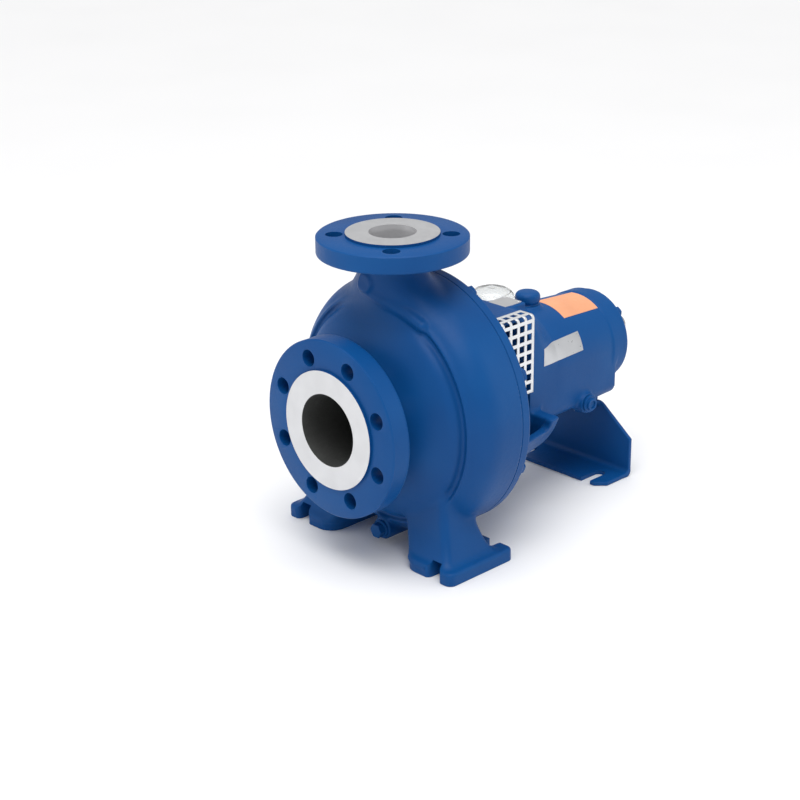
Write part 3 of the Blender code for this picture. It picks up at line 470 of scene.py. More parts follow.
# ----------------------------------------------------------------------- materials
class Finish:
    """A small builder for node materials."""
    def __init__(self, name, colour, roughness, metallic=0.0):
        self.material = bpy.data.materials.new(name)
        self.material.use_nodes = True
        self.tree = self.material.node_tree
        self.shader = self.tree.nodes["Principled BSDF"]
        self.shader.inputs["Base Color"].default_value = (*colour, 1)
        self.shader.inputs["Roughness"].default_value = roughness
        self.shader.inputs["Metallic"].default_value = metallic
        self.shift = self.node("ShaderNodeMapping")
        coords = self.node("ShaderNodeTexCoord")
        self.link(coords.outputs["Object"], self.shift.inputs["Vector"])
        self.height = None

    def node(self, kind, **values):
        made = self.tree.nodes.new(kind)
        for key, value in values.items():
            if key in made.inputs:
                made.inputs[key].default_value = value
            else:
                setattr(made, key, value)
        return made

    def link(self, a, b):
        self.tree.links.new(a, b)

    def noise(self, scale, detail=3.0, roughness=0.55, stretch=None):
        made = self.node("ShaderNodeTexNoise", Scale=scale, Detail=detail, Roughness=roughness)
        if stretch:
            shift = self.node("ShaderNodeMapping", Scale=stretch)
            self.link(self.shift.outputs["Vector"], shift.inputs["Vector"])
            self.link(shift.outputs["Vector"], made.inputs["Vector"])
        else:
            self.link(self.shift.outputs["Vector"], made.inputs["Vector"])
        return made.outputs["Fac"]

    def span(self, source, low, high, to_low, to_high):
        made = self.node("ShaderNodeMapRange")
        for key, value in (("From Min", low), ("From Max", high), ("To Min", to_low), ("To Max", to_high)):
            made.inputs[key].default_value = value
        self.link(source, made.inputs["Value"])
        return made.outputs["Result"]

    def mixed(self, factor, first, second):
        made = self.node("ShaderNodeMix", data_type="RGBA")
        self.link(factor, made.inputs["Factor"])
        for value, key in ((first, 6), (second, 7)):
            if isinstance(value, tuple):
                made.inputs[key].default_value = (*value, 1)
            else:
                self.link(value, made.inputs[key])
        return made.outputs[2]

    def colour(self, source):
        self.link(source, self.shader.inputs["Base Color"])

    def rough(self, source):
        self.link(source, self.shader.inputs["Roughness"])

    def bump(self, source, distance, strength=1.0):
        made = self.node("ShaderNodeBump", Strength=strength, Distance=distance)
        self.link(source, made.inputs["Height"])
        if self.height:
            self.link(self.height, made.inputs["Normal"])
        self.height = made.outputs["Normal"]
        self.link(self.height, self.shader.inputs["Normal"])
        return self


def paint_finish(name, cast=1.0):
    """Deep satin blue enamel: dust in the film, orange peel, and the sand texture under it."""
    f = Finish(name, (0.0025, 0.066, 0.240), 0.40)
    broad = f.noise(9.0, 2.0)
    fine = f.noise(420.0, 4.0, 0.6)
    shade = f.mixed(f.span(broad, 0.3, 0.7, 0, 1), (0.0018, 0.058, 0.220), (0.0036, 0.076, 0.262))
    specks = f.span(f.noise(1500.0, 1.0), 0.73, 0.78, 0, 0.35)
    f.colour(f.mixed(specks, shade, (0.03, 0.15, 0.38)))
    f.rough(f.span(fine, 0.25, 0.75, 0.36, 0.50))
    f.bump(f.noise(520.0, 2.0, 0.5), 0.00012, 0.30 * cast)
    f.bump(f.noise(140.0, 3.0, 0.55), 0.0005, 0.28 * cast)
    f.bump(f.noise(38.0, 2.0, 0.5), 0.0016, 0.20 * cast)
    f.shader.inputs["Specular IOR Level"].default_value = 0.16
    return f.material


def machined_finish(name, axis, tone=(0.66, 0.665, 0.68), pitch=2600.0):
    """A turned face: fine tool rings about the shaft (x) or discharge (z) axis."""
    f = Finish(name, tone, 0.36, 0.75)
    f.shift.inputs["Scale"].default_value = (0, 1, 1) if axis == "x" else (1, 1, 0)
    rings = f.node("ShaderNodeTexWave", wave_type="RINGS", rings_direction="SPHERICAL", Scale=pitch / 6.28,
                   Distortion=0.4, Detail=1.0)
    f.link(f.shift.outputs["Vector"], rings.inputs["Vector"])
    f.bump(rings.outputs["Fac"], 0.00003, 0.5)
    patches = f.noise(40.0, 3.0)
    f.colour(f.mixed(f.span(patches, 0.35, 0.65, 0, 1), tuple(0.93 * c for c in tone), tone))
    f.rough(f.span(f.noise(160.0, 3.0), 0.3, 0.7, 0.30, 0.46))
    return f.material


def metal_finish(name, colour, roughness, metallic=1.0, grain=300.0, depth=0.00005):
    f = Finish(name, colour, roughness, metallic)
    f.rough(f.span(f.noise(grain, 3.0), 0.3, 0.7, roughness * 0.8, roughness * 1.25))
    f.colour(f.mixed(f.span(f.noise(grain / 8, 2.0), 0.3, 0.7, 0, 1),
                     tuple(0.88 * c for c in colour), tuple(min(1, 1.06 * c) for c in colour)))
    f.bump(f.noise(grain * 2.2, 2.0), depth, 0.5)
    return f.material


PAINT = paint_finish("blue_enamel")
SMOOTH_PAINT = paint_finish("blue_enamel_smooth", 0.35)
FACE_X = machined_finish("turned_suction_face", "x")
FACE_Z = machined_finish("turned_discharge_face", "z")
BORE_DARK = metal_finish("cast_bore_dark", (0.060, 0.062, 0.060), 0.55, 0.25, 180.0, 0.0004)
BORE_LIGHT = metal_finish("bored_iron_light", (0.56, 0.56, 0.575), 0.5, 0.35, 260.0, 0.0001)
STEEL = metal_finish("bright_steel", (0.60, 0.61, 0.63), 0.26)
DARK = metal_finish("shadowed_iron", (0.05, 0.055, 0.06), 0.6, 0.2)

STEP = 0.0013 if FINE else 0.0026
PAST = 0.003                     # how far a cutting shape runs past the face it opens

# ---------------------------------------------------------------- casing castings
FOOT_X = 0.003                   # middle of the casing feet, along the shaft
SLOT_X = 0.035                   # a casing foot slot's end, from the middle of the feet
SLOT_Y = 0.106                   # a casing foot slot's middle, from the shaft axis
SLOT_HALF = 0.007                # half the width of every holding-down slot
DRAIN = (-0.0213, 0, -0.142)     # mouth of the drain hole
VENT_X = 0.216
LEVEL_PLUG = (0.252, 0, -0.050)
OILER_X, OILER_Y, OILER_Z = 0.263, 0.101, -0.030
RIM = node_box("volute_casing")[1].y - 0.0001
CASING_BACK = node_box("volute_casing")[1].x
RING_FRONT = node_box("bearing_bracket")[0].x
RING_BACK = node_box("casing_screw_1")[1].x - 0.0067
BRACKET_BACK = node_box("bearing_bracket")[1].x
SUCTION = dict(radius=0.100, thick=0.022, face=0.0665, raised=0.003, pitch=0.080, holes=8,
               hole=0.0095, bore=0.040)
DISCHARGE = dict(radius=0.0825, thick=0.020, face=0.051, raised=0.003, pitch=0.0625, holes=4,
                 hole=0.0095, bore=0.025)


def casing_neck(x, y, z):
    """The nozzle's elliptical sections, wide along y where it leaves the casing."""
    rows = smooth_line([(0.060, 0.010, 0.028, 0.098), (0.085, 0.007, 0.033, 0.088),
                        (0.112, 0.0055, 0.0352, 0.077), (0.134, 0.0035, 0.0358, 0.059),
                        (0.152, 0.001, 0.0358, 0.0435), (0.166, 0, 0.036, 0.0368),
                        (0.184, 0, 0.0368, 0.0368)], 8)
    heights, centres, wide, deep = (np.array(column) for column in zip(*rows))
    cx = np.interp(z, heights, centres)
    rx = np.interp(z, heights, wide)
    ry = np.interp(z, heights, deep)
    near = np.sqrt(((x - cx) / rx) ** 2 + (y / ry) ** 2)
    slope = np.sqrt(((x - cx) / rx ** 2) ** 2 + (y / ry ** 2) ** 2)
    side = near * (near - 1) / np.maximum(slope, 1)
    return np.maximum(side, np.maximum(heights[0] - z, z - heights[-1]))


def casing_field():
    f = Field((SUCTION_X, -RIM, FLOOR_Z), (CASING_BACK, RIM, DISCHARGE_Z), STEP)
    dome = smooth_line([(0.030, RIM), (0.013, 0.1475), (0.002, 0.1450), (-0.008, 0.1393),
                        (-0.0145, 0.1330), (-0.0178, 0.1303), (-0.0188, 0.1286), (-0.0178, 0.1270),
                        (-0.0162, 0.1255)], 5)
    f.add(spun([(-0.0162, 0), (0.048, 0), (0.048, RIM)] + dome),
          (-0.024, -RIM, -RIM), (0.048, RIM, RIM), 0.001)
    wall = smooth_line([(-0.0140, 0.1206), (-0.0190, 0.1203), (-0.0240, 0.1185), (-0.0290, 0.1135),
                        (-0.0355, 0.1030), (-0.0430, 0.0890), (-0.0493, 0.0762), (-0.0560, 0.0655),
                        (-0.0640, 0.0600), (-0.0740, 0.0585), (-0.0800, 0.0585)], 5)
    f.add(spun([(-0.0800, 0), (-0.0140, 0)] + wall),
          (-0.082, -0.122, -0.122), (-0.013, 0.122, 0.122), 0.0032)
    f.add(casing_neck, (-0.040, -0.100, 0.060), (0.046, 0.100, 0.186), 0.010)
    ridge = smooth_line([(-0.0310, 0.014, 0.143), (-0.0270, -0.014, 0.133), (-0.0222, -0.038, 0.1245),
                         (-0.0185, -0.062, 0.1130)], 4)
    f.add(rope(ridge, 0.0062), (-0.038, -0.070, 0.106), (-0.012, 0.020, 0.150), 0.0045)
    f.add(drum((0, 0.006, 0.1500), "x", 0.0100, -0.0375, -0.020, 0.002),
          (-0.039, -0.005, 0.139), (-0.02, 0.017, 0.161), 0.005)
    radius, back = SUCTION["radius"], SUCTION_X + SUCTION["raised"] + SUCTION["thick"]
    f.add(spun([(-0.102, 0), (-0.102, radius - 0.002), (back, radius - 0.002), (back, 0)], 0.002),
          (-0.104, -radius, -radius), (back + 0.002, radius, radius), 0.006)
    radius, back = DISCHARGE["radius"], DISCHARGE_Z - DISCHARGE["raised"] - DISCHARGE["thick"]
    f.add(spun_up([(back + 0.002, 0), (back + 0.002, radius - 0.002), (0.202, radius - 0.002),
                   (0.202, 0)], rounding=0.002),
          (-radius, -radius, back), (radius, radius, 0.204), 0.006)
    for side in (-1, 1):
        casing_foot(f, side)
    f.add(drum((0, 0, DRAIN[2]), "x", 0.0128, -0.0215, 0.020, 0.0015),
          (-0.022, -0.014, -0.156), (0.02, 0.014, -0.128), 0.006)
    return f


def rounded(corners, steps=6):
    """A convex outline from (u, v, radius) corners, with an arc at each corner."""
    points = []
    for i, (u, v, radius) in enumerate(corners):
        here = Vector((u, v))
        back = (Vector(corners[i - 1][:2]) - here).normalized()
        ahead = (Vector(corners[(i + 1) % len(corners)][:2]) - here).normalized()
        half = back.angle(ahead) / 2
        middle = here + (back + ahead).normalized() * (radius / math.sin(half))
        start = here + back * (radius / math.tan(half)) - middle
        turn = start.angle_signed(here + ahead * (radius / math.tan(half)) - middle)
        for step in range(steps + 1):
            spoke = start.copy()
            spoke.rotate(Matrix.Rotation(-turn * step / steps, 2))
            points.append(tuple(middle + spoke))
    return points


def foot_web(side):
    """The web over a foot: rounded oblong sections that spread towards the sole."""
    rows = smooth_line([(-0.1480, -0.0440, 0.0360, 0.0610, 0.1275),
                        (-0.1420, -0.0410, 0.0320, 0.0575, 0.1215),
                        (-0.1300, -0.0355, 0.0275, 0.0510, 0.1145),
                        (-0.1150, -0.0305, 0.0245, 0.0440, 0.1080),
                        (-0.0950, -0.0270, 0.0225, 0.0370, 0.1030),
                        (-0.0700, -0.0240, 0.0220, 0.0300, 0.0990)], 5)
    heights, *sides = (np.array(column) for column in zip(*rows))
    corner = 0.009

    def shape(x, y, z):
        x0, x1, near, far = (np.interp(z, heights, v) for v in sides)
        u = np.abs(x - (x0 + x1) / 2) - (x1 - x0) / 2 + corner
        v = np.abs(side * y - (near + far) / 2) - (far - near) / 2 + corner
        outside = np.sqrt(np.maximum(u, 0) ** 2 + np.maximum(v, 0) ** 2)
        flat = outside + np.minimum(np.maximum(u, v), 0) - corner
        return np.maximum(flat, np.maximum(heights[0] - z, z - heights[-1]))
    return shape


def casing_foot(f, side):
    """A slotted bar along x under a web that spreads out of the casing."""
    inner, outer, front, rear = 0.058, 0.1325, FOOT_X - 0.050, FOOT_X + 0.050
    corners = [(front, outer, 0.008), (rear, outer, 0.008), (rear, inner, 0.014), (front, inner, 0.020)]
    outline = [(x, side * y) for x, y in rounded(corners)]
    low, high = min(side * inner, side * outer), max(side * inner, side * outer)
    f.add(slab(outline, "xy", FLOOR_Z - 0.004, FLOOR_Z + 0.0145, 0.0035),
          (front, low, FLOOR_Z - 0.004), (rear, high, FLOOR_Z + 0.0145), 0.003)
    f.add(foot_web(side), (-0.046, min(side * 0.028, side * 0.130), -0.149),
          (0.038, max(side * 0.028, side * 0.130), -0.070), 0.007)


def flange_ring_cutter(name, sizes, place, material):
    """Leaves a raised face: takes the metal round it down to the flange."""
    raised, face, radius = sizes["raised"], sizes["face"], sizes["radius"]
    front = 0.010
    profile = [(front, face), (-raised, face), (-raised, radius - 0.0020),
               (-raised - 0.0007, radius - 0.0008), (-raised - 0.0021, radius + 0.0006),
               (-raised - 0.0021, radius + 0.006), (front, radius + 0.006)]
    work = turned_mesh(bmesh.new(), profile, 160, place)
    return cutter(name, work, [material])


def disc_cutter(name, x0, x1, radius, material, place=None, steps=128, inner=0.0):
    profile = [(x0, inner), (x0, radius), (x1, radius), (x1, inner)]
    work = turned_mesh(bmesh.new(), profile, steps, place)
    return cutter(name, work, [material])


def flange_cutters(name, sizes, axis, distance, paint, face):
    """Everything that is machined into one flange, except its bore."""
    place = along(axis, Vector(axis) * distance)
    made = [flange_ring_cutter(name + "_step", sizes, place, paint),
            disc_cutter(name + "_face", 0, 0.010, sizes["radius"] + 0.004, face, place)]
    turn = place.to_3x3()
    for i in range(sizes["holes"]):
        angle = math.tau * (i + 0.5) / sizes["holes"]
        across = Vector((0, math.cos(angle), math.sin(angle))) * sizes["pitch"]
        hole = along(axis, Vector(axis) * distance + turn @ across)
        made.append(disc_cutter(f"{name}_hole_{i}", -0.030, PAST, sizes["hole"], paint, hole, 48))
    return made


def casing_cutters():
    made = flange_cutters("suction", SUCTION, (-1, 0, 0), -SUCTION_X, SMOOTH_PAINT, FACE_X)
    made += flange_cutters("discharge", DISCHARGE, (0, 0, 1), DISCHARGE_Z, SMOOTH_PAINT, FACE_Z)
    bore = SUCTION["bore"]
    chamber = [(CASING_BACK + PAST, 0), (CASING_BACK + PAST, 0.131), (0.0283, 0.131),
               (0.0283, 0.108), (-0.006, 0.108), (-0.022, 0.060), (-0.030, 0.0525),
               (-0.0345, 0.0525), (-0.0345, bore), (-0.092, bore), (-0.098, bore + 0.0006),
               (-0.104, bore + 0.0012), (-0.104, 0)]
    work = turned_mesh(bmesh.new(), chamber, 128)
    made.append(cutter("chamber", work, [BORE_DARK]))
    rings = []
    for i in range(31):
        part = i / 30
        a = math.radians(-38 - 300 * part)
        radius = 0.006 + 0.013 * part
        out = Vector((0, -math.sin(a), math.cos(a)))
        centre = out * (0.107 + radius * 0.55)
        rings.append([(0.003 + radius * 1.05 * math.sin(t), *(centre + out * radius * math.cos(t)).yz)
                      for t in (math.tau * j / 20 for j in range(20))])
    made.append(cutter("scroll", loft(bmesh.new(), rings), [BORE_DARK]))
    rows = smooth_line([(0.040, 0.003, -0.092, 0.016), (0.075, 0.003, -0.076, 0.018),
                        (0.115, 0.002, -0.045, 0.021), (0.148, 0.001, -0.016, 0.0235),
                        (0.166, 0, -0.002, 0.0248), (0.176, 0, 0, DISCHARGE["bore"]),
                        (DISCHARGE_Z - 0.004, 0, 0, DISCHARGE["bore"])], 5)
    way = [[(x + r * math.cos(t), y + r * math.sin(t), z)
            for t in (math.tau * (j + 0.3) / 72 for j in range(72))] for z, x, y, r in rows]
    mouth = DISCHARGE["bore"] + 0.0008
    way += [[(mouth * math.cos(t), mouth * math.sin(t), z)
             for t in (math.tau * (j + 0.3) / 72 for j in range(72))]
            for z in (DISCHARGE_Z - 0.001, DISCHARGE_Z + PAST)]
    made.append(cutter("delivery", loft(bmesh.new(), way), [BORE_LIGHT]))
    made.append(cutter("rear", turned_mesh(bmesh.new(), [
        (CASING_BACK, 0), (CASING_BACK, RIM - 0.0040), (CASING_BACK - 0.0032, RIM + 0.0004),
        (CASING_BACK - 0.0032, 0.170), (CASING_BACK + 0.02, 0.170), (CASING_BACK + 0.02, 0)],
        160), [SMOOTH_PAINT]))
    floor = block_mesh((-0.12, -0.16, FLOOR_Z - 0.02), (0.12, 0.16, FLOOR_Z))
    made.append(cutter("sole", floor, [DARK]))
    for side in (-1, 1):
        for end in (-1, 1):
            arc = [math.radians(90 + 180 * i / 14) for i in range(15)]
            lip = [(0.0090, 0), (0.0112, 0.0004), (0.0130, 0.0014), (0.0144, 0.0030), (0.0152, 0.0055)]
            half = [(u, SLOT_HALF + v) for u, v in lip] + [(0.035, 0.0125)]
            whole = [(SLOT_HALF * math.cos(a), SLOT_HALF * math.sin(a)) for a in arc]
            whole += [(u, -v) for u, v in half] + half[::-1]
            outline = [(FOOT_X + end * (SLOT_X + u), side * SLOT_Y + v) for u, v in whole]
            slot = prism(bmesh.new(), outline, FLOOR_Z - 0.01, FLOOR_Z + 0.020)
            made.append(cutter(f"slot_{side}_{end}", slot, [PAINT]))
    made.append(disc_cutter("drain", -0.003, 0.020, 0.0062, DARK, along((1, 0, 0), DRAIN), 32))
    return made


def block_mesh(low, high):
    work = bmesh.new()
    low, high = Vector(low), Vector(high)
    outline = [(low.x, low.y), (high.x, low.y), (high.x, high.y), (low.x, high.y)]
    return prism(work, outline, low.z, high.z)


def build_casing():
    f = casing_field()
    mesh = f.mesh("casing")
    mesh.materials.append(PAINT)
    paints = [PAINT, SMOOTH_PAINT, FACE_X, FACE_Z, BORE_DARK, BORE_LIGHT, DARK]
    made = carve(mesh, casing_cutters(), paints)
    add_piece("casing_casting", made, replaces=("volute_casing",))


# --------------------------------------------------------------- bearing bracket
def housing_shape(x, y, z):
    """Upright sides under a rounded top, round enough towards the drive end to be a barrel."""
    rows = smooth_line([(0.1515, 0.0640, 0.0770, 0.0320), (0.160, 0.0640, 0.0768, 0.0325),
                        (0.170, 0.0638, 0.0755, 0.0370), (0.183, 0.0634, 0.0705, 0.0500),
                        (0.197, 0.0631, 0.0660, 0.0595), (0.212, 0.0628, 0.0636, 0.0615),
                        (0.260, 0.0603, 0.0607, 0.0590), (0.311, 0.0575, 0.0575, 0.0565)], 6)
    places, halves, tops, shoulders = (np.array(column) for column in zip(*rows))
    half, top, shoulder = (np.interp(x, places, v) for v in (halves, tops, shoulders))
    bottom, corner = -0.057, 0.014
    middle, tall = (top + bottom) / 2, (top - bottom) / 2
    radius = np.where(z > middle, np.minimum(shoulder, np.minimum(half, tall) - 0.0002), corner)
    u, v = np.abs(y) - half + radius, np.abs(z - middle) - tall + radius
    flat = np.minimum(np.maximum(u, v), 0) + np.sqrt(np.maximum(u, 0) ** 2 + np.maximum(v, 0) ** 2) - radius
    return np.maximum(flat, np.maximum(places[0] - x, x - places[-1]))


def bracket_field():
    f = Field((RING_FRONT - 0.002, -RIM, -RIM), (BRACKET_BACK, RIM, RIM), STEP)
    cone = smooth_line([(RING_BACK - 0.004, 0.1205), (0.066, 0.1196), (0.085, 0.1163), (0.104, 0.1130),
                        (0.130, 0.1084), (0.152, 0.1045), (0.1640, 0.1026), (0.1675, 0.1006)], 4)
    back = [(0.168, 0.0980), (0.168, 0.048), (0.152, 0.048), (0.152, 0.094), (0.104, 0.103),
            (RING_BACK, 0.109), (RING_BACK - 0.004, 0.109)]
    f.add(spun(cone + back), (RING_FRONT, -0.122, -0.122), (0.170, 0.122, 0.122), 0.004)
    f.remove(block((RING_BACK - 0.010, -0.160, -0.046), (0.151, 0.160, 0.160), 0.006),
             (RING_BACK - 0.010, -RIM, -0.046), (0.151, RIM, RIM), 0.003)
    f.remove(block((0.140, -0.160, -0.034), (0.180, 0.160, 0.160), 0.006),
             (0.140, -RIM, -0.034), (0.175, RIM, RIM), 0.003)
    f.add(block((RING_FRONT, -0.048, 0.0715), (0.1560, 0.048, 0.0830), 0.0035),
          (RING_FRONT, -0.048, 0.0715), (0.156, 0.048, 0.083), 0.004)
    f.add(housing_shape, (0.150, -0.066, -0.060), (0.313, 0.066, 0.079), 0.007)
    f.add(spun([(RING_FRONT - 0.004, 0), (RING_FRONT - 0.004, RIM), (RING_BACK - 0.001, RIM),
                (RING_BACK, RIM - 0.001), (RING_BACK, 0)]),
          (RING_FRONT - 0.004, -RIM, -RIM), (RING_BACK, RIM, RIM), 0.005)
    f.add(drum((0, 0, 0), "x", 0.0595, 0.3050, BRACKET_BACK + 0.003, 0.0012),
          (0.305, -0.061, -0.061), (0.328, 0.061, 0.061), 0.003)
    f.add(block((0.1535, -0.0168, 0.040), (0.1950, 0.0168, 0.0774), 0.0022),
          (0.153, -0.017, 0.040), (0.195, 0.017, 0.0776), 0.005)
    f.add(drum((VENT_X, 0, 0), "z", 0.0155, 0.040, 0.0665, 0.0015),
          (0.20, -0.016, 0.040), (0.232, 0.016, 0.067), 0.006)
    f.add(drum(LEVEL_PLUG, "y", 0.0123, -0.0665, -0.030, 0.0012),
          (0.239, -0.067, -0.063), (0.265, -0.030, -0.037), 0.005)
    f.add(drum((OILER_X, 0, OILER_Z), "y", 0.0130, 0.030, 0.0680, 0.0012),
          (0.250, 0.030, -0.043), (0.276, 0.068, -0.017), 0.005)
    f.add(block((0.2755, -0.0305, -0.0745), (0.3140, 0.0305, -0.040), 0.003),
          (0.275, -0.031, -0.075), (0.314, 0.031, -0.040), 0.006)
    return f


def bracket_cutters():
    bore = 0.0313
    space = [(0.330, 0), (0.330, bore), (0.2895, bore), (0.2895, 0.0285), (0.284, 0.0285),
             (0.280, 0.046), (0.207, 0.046), (0.203, 0.0285), (0.1975, 0.0285), (0.1975, bore),
             (0.1693, bore), (0.1693, 0.0452), (0.147, 0.0452), (0.147, 0)]
    made = [cutter("bearing_space", turned_mesh(bmesh.new(), space, 96), [DARK])]
    front = [(RING_FRONT - 0.012, 0), (RING_FRONT - 0.012, 0.17), (RING_FRONT + 0.0026, 0.17),
             (RING_FRONT + 0.0026, RIM + 0.0004), (RING_FRONT, RIM - 0.0034), (RING_FRONT, 0.066),
             (RING_BACK + 0.0005, 0.066), (RING_BACK + 0.0005, 0)]
    made.append(cutter("ring_front", turned_mesh(bmesh.new(), front, 160), [SMOOTH_PAINT]))
    end = [(BRACKET_BACK, 0), (BRACKET_BACK, 0.0583), (BRACKET_BACK - 0.001, 0.0600),
           (BRACKET_BACK - 0.001, 0.08), (0.34, 0.08), (0.34, 0)]
    made.append(cutter("end_face", turned_mesh(bmesh.new(), end, 96), [SMOOTH_PAINT]))
    made.append(cutter("pad_sole", block_mesh((0.27, -0.04, -0.09), (0.32, 0.04, -0.0727)), [SMOOTH_PAINT]))
    made.append(disc_cutter("vent_hole", 0.034, 0.070, 0.0083, DARK, along((0, 0, 1), (VENT_X, 0, 0)), 32))
    made.append(disc_cutter("level_hole", 0.052, 0.070, 0.0073, DARK, along((0, -1, 0), LEVEL_PLUG), 32))
    made.append(disc_cutter("oil_hole", 0.035, 0.070, 0.0063, DARK,
                            along((0, 1, 0), (OILER_X, 0, OILER_Z)), 32))
    return made


def build_bracket():
    f = bracket_field()
    mesh = f.mesh("bracket")
    mesh.materials.append(PAINT)
    made = carve(mesh, bracket_cutters(), [PAINT, SMOOTH_PAINT, DARK])
    add_piece("bracket_casting", made, replaces=("bearing_bracket",))
    return f


# ------------------------------------------------------------------ support foot
def build_support_foot():
    low, high = node_box("support_foot")
    f = Field(low, high, 0.0008 if FINE else 0.0016)
    wide, thick = high.y, 0.005
    outline = [(-wide, FLOOR_Z), (wide, FLOOR_Z), (wide, -0.112), (0.030, high.z), (-0.030, high.z),
               (-wide, -0.112)]
    f.add(slab(outline, "yz", high.x - thick, high.x, 0.0008), low, high, 0.001)
    flat = [(high.x, -wide), (high.x, wide), (low.x + 0.012, wide), (low.x, wide - 0.012),
            (low.x, 0.012 - wide), (low.x + 0.012, -wide)]
    f.add(slab(flat, "xy", FLOOR_Z, FLOOR_Z + thick, 0.0008), low, high, 0.007)
    f.add(block((0.277, -0.030, high.z - 0.0048), (high.x, 0.030, high.z), 0.0008),
          (0.277, -0.03, high.z - 0.006), high, 0.006)
    f.keep(block((-1, -1, FLOOR_Z), (high.x, 1, high.z), 0.0065), 0.0003)
    f.keep(block((low.x, -wide, -1), (1, wide, 1), 0.0005), 0.0008)
    mesh = f.mesh("foot")
    mesh.materials.append(PAINT)
    cutters = []
    for side in (-1, 1):
        arc = [math.radians(-90 + 180 * i / 14) for i in range(15)]
        y = side * 0.055
        outline = [(0.290 + SLOT_HALF * math.cos(a), y + SLOT_HALF * math.sin(a)) for a in arc]
        outline += [(0.240, y + SLOT_HALF), (0.240, y - SLOT_HALF)]
        cutters.append(cutter(f"slot_{side}", prism(bmesh.new(), outline, -0.17, -0.13), [PAINT]))
        cutters.append(disc_cutter(f"hole_{side}", -0.02, 0.02, 0.0055, PAINT,
                                   along((0, 0, 1), (0.295, side * 0.018, high.z)), 32))
    made = carve(mesh, cutters, [PAINT])
    add_piece("support_foot_plate", made, replaces=("support_foot",))


# ------------------------------------------------------------------ small shapes
def joined(name, first, second, operation):
    """The mesh that two closed shapes make together."""
    holder = cutter(name, first, [])
    other = cutter(name + "_tool", second, [])
    change = holder.modifiers.new("meet", "BOOLEAN")
    change.operation = operation
    change.solver = "MANIFOLD"
    change.object = other
    bpy.context.view_layer.update()
    ready = holder.evaluated_get(bpy.context.evaluated_depsgraph_get())
    mesh = bpy.data.meshes.new_from_object(ready)
    mesh.name = name
    bpy.data.objects.remove(holder, do_unlink=True)
    bpy.data.objects.remove(other, do_unlink=True)
    return mesh


def hex_head(flats, height, washer=0.0006):
    """A forged hexagon: corners chamfered to a circle at both ends, over a washer face."""
    corner = flats / math.sqrt(3)
    outline = [(corner * math.cos(math.radians(60 * i + 30)), corner * math.sin(math.radians(60 * i + 30)))
               for i in range(6)]
    prism_work = prism(bmesh.new(), outline, 0, height, along((0, 0, 1)).inverted())
    drop = (corner - flats * 0.485) * 0.5
    bowl = [(0, 0), (0, flats * 0.485), (washer, flats * 0.485), (washer, flats * 0.50),
            (washer + drop * 0.7, corner + 0.0002), (height - drop, corner + 0.0002),
            (height, flats * 0.485), (height, 0)]
    return prism_work, turned_mesh(bmesh.new(), bowl, 48)


def screw_mesh(name, flats, height, shank, length):
    """A hexagon screw: head from 0 to height along x, shank behind it."""
    mesh = joined(name, *hex_head(flats, height), "INTERSECT")
    work = bmesh.new()
    work.from_mesh(mesh)
    profile = [(-length, 0), (-length, shank - 0.0007), (-length + 0.0008, shank), (0.0003, shank),
               (0.0003, 0)]
    turned_mesh(work, profile, 24)
    dome = [(height - 0.0002, 0), (height - 0.0002, flats * 0.30), (height + 0.0001, flats * 0.26),
            (height - 0.0003 + 0.0002, 0)]
    turned_mesh(work, dome, 32)
    bpy.data.meshes.remove(mesh)
    return finished(name, work)


def add_screws(prefix, flats, height, shank, length, axis, colour):
    """Screws in the place of the frame's own, heads turned to axis."""
    mesh = screw_mesh(prefix + "_mesh", flats, height, shank, length)
    mesh.materials.append(colour)
    for name in sorted(frame["nodes"]):
        if not name.startswith(prefix + "_") or not name[len(prefix) + 1:].isdigit():
            continue
        low, high = node_box(name)
        head = Vector([(high if axis[i] > 0 else low)[i] - height * axis[i] if axis[i]
                       else (low[i] + high[i]) / 2 for i in range(3)])
        made = bpy.data.objects.new(name.replace(prefix, prefix + "_bolt"), mesh)
        bpy.context.scene.collection.objects.link(made)
        twist = Matrix.Rotation(math.radians(37 * int(name[len(prefix) + 1:])), 4, "X")
        made.matrix_world = Matrix.Translation(DATUM + head) @ along(axis) @ twist
        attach(made, "pump_frame")
        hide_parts(name)


def turned_piece(name, points, paint, body="pump_frame", replaces=(), axis=None,
                 at=(0, 0, 0), steps=96):
    place = along(axis, at) if axis else Matrix.Translation(Vector(at))
    mesh = finished(name, turned_mesh(bmesh.new(), points, steps, place))
    return add_piece(name, mesh, [paint], body, replaces)


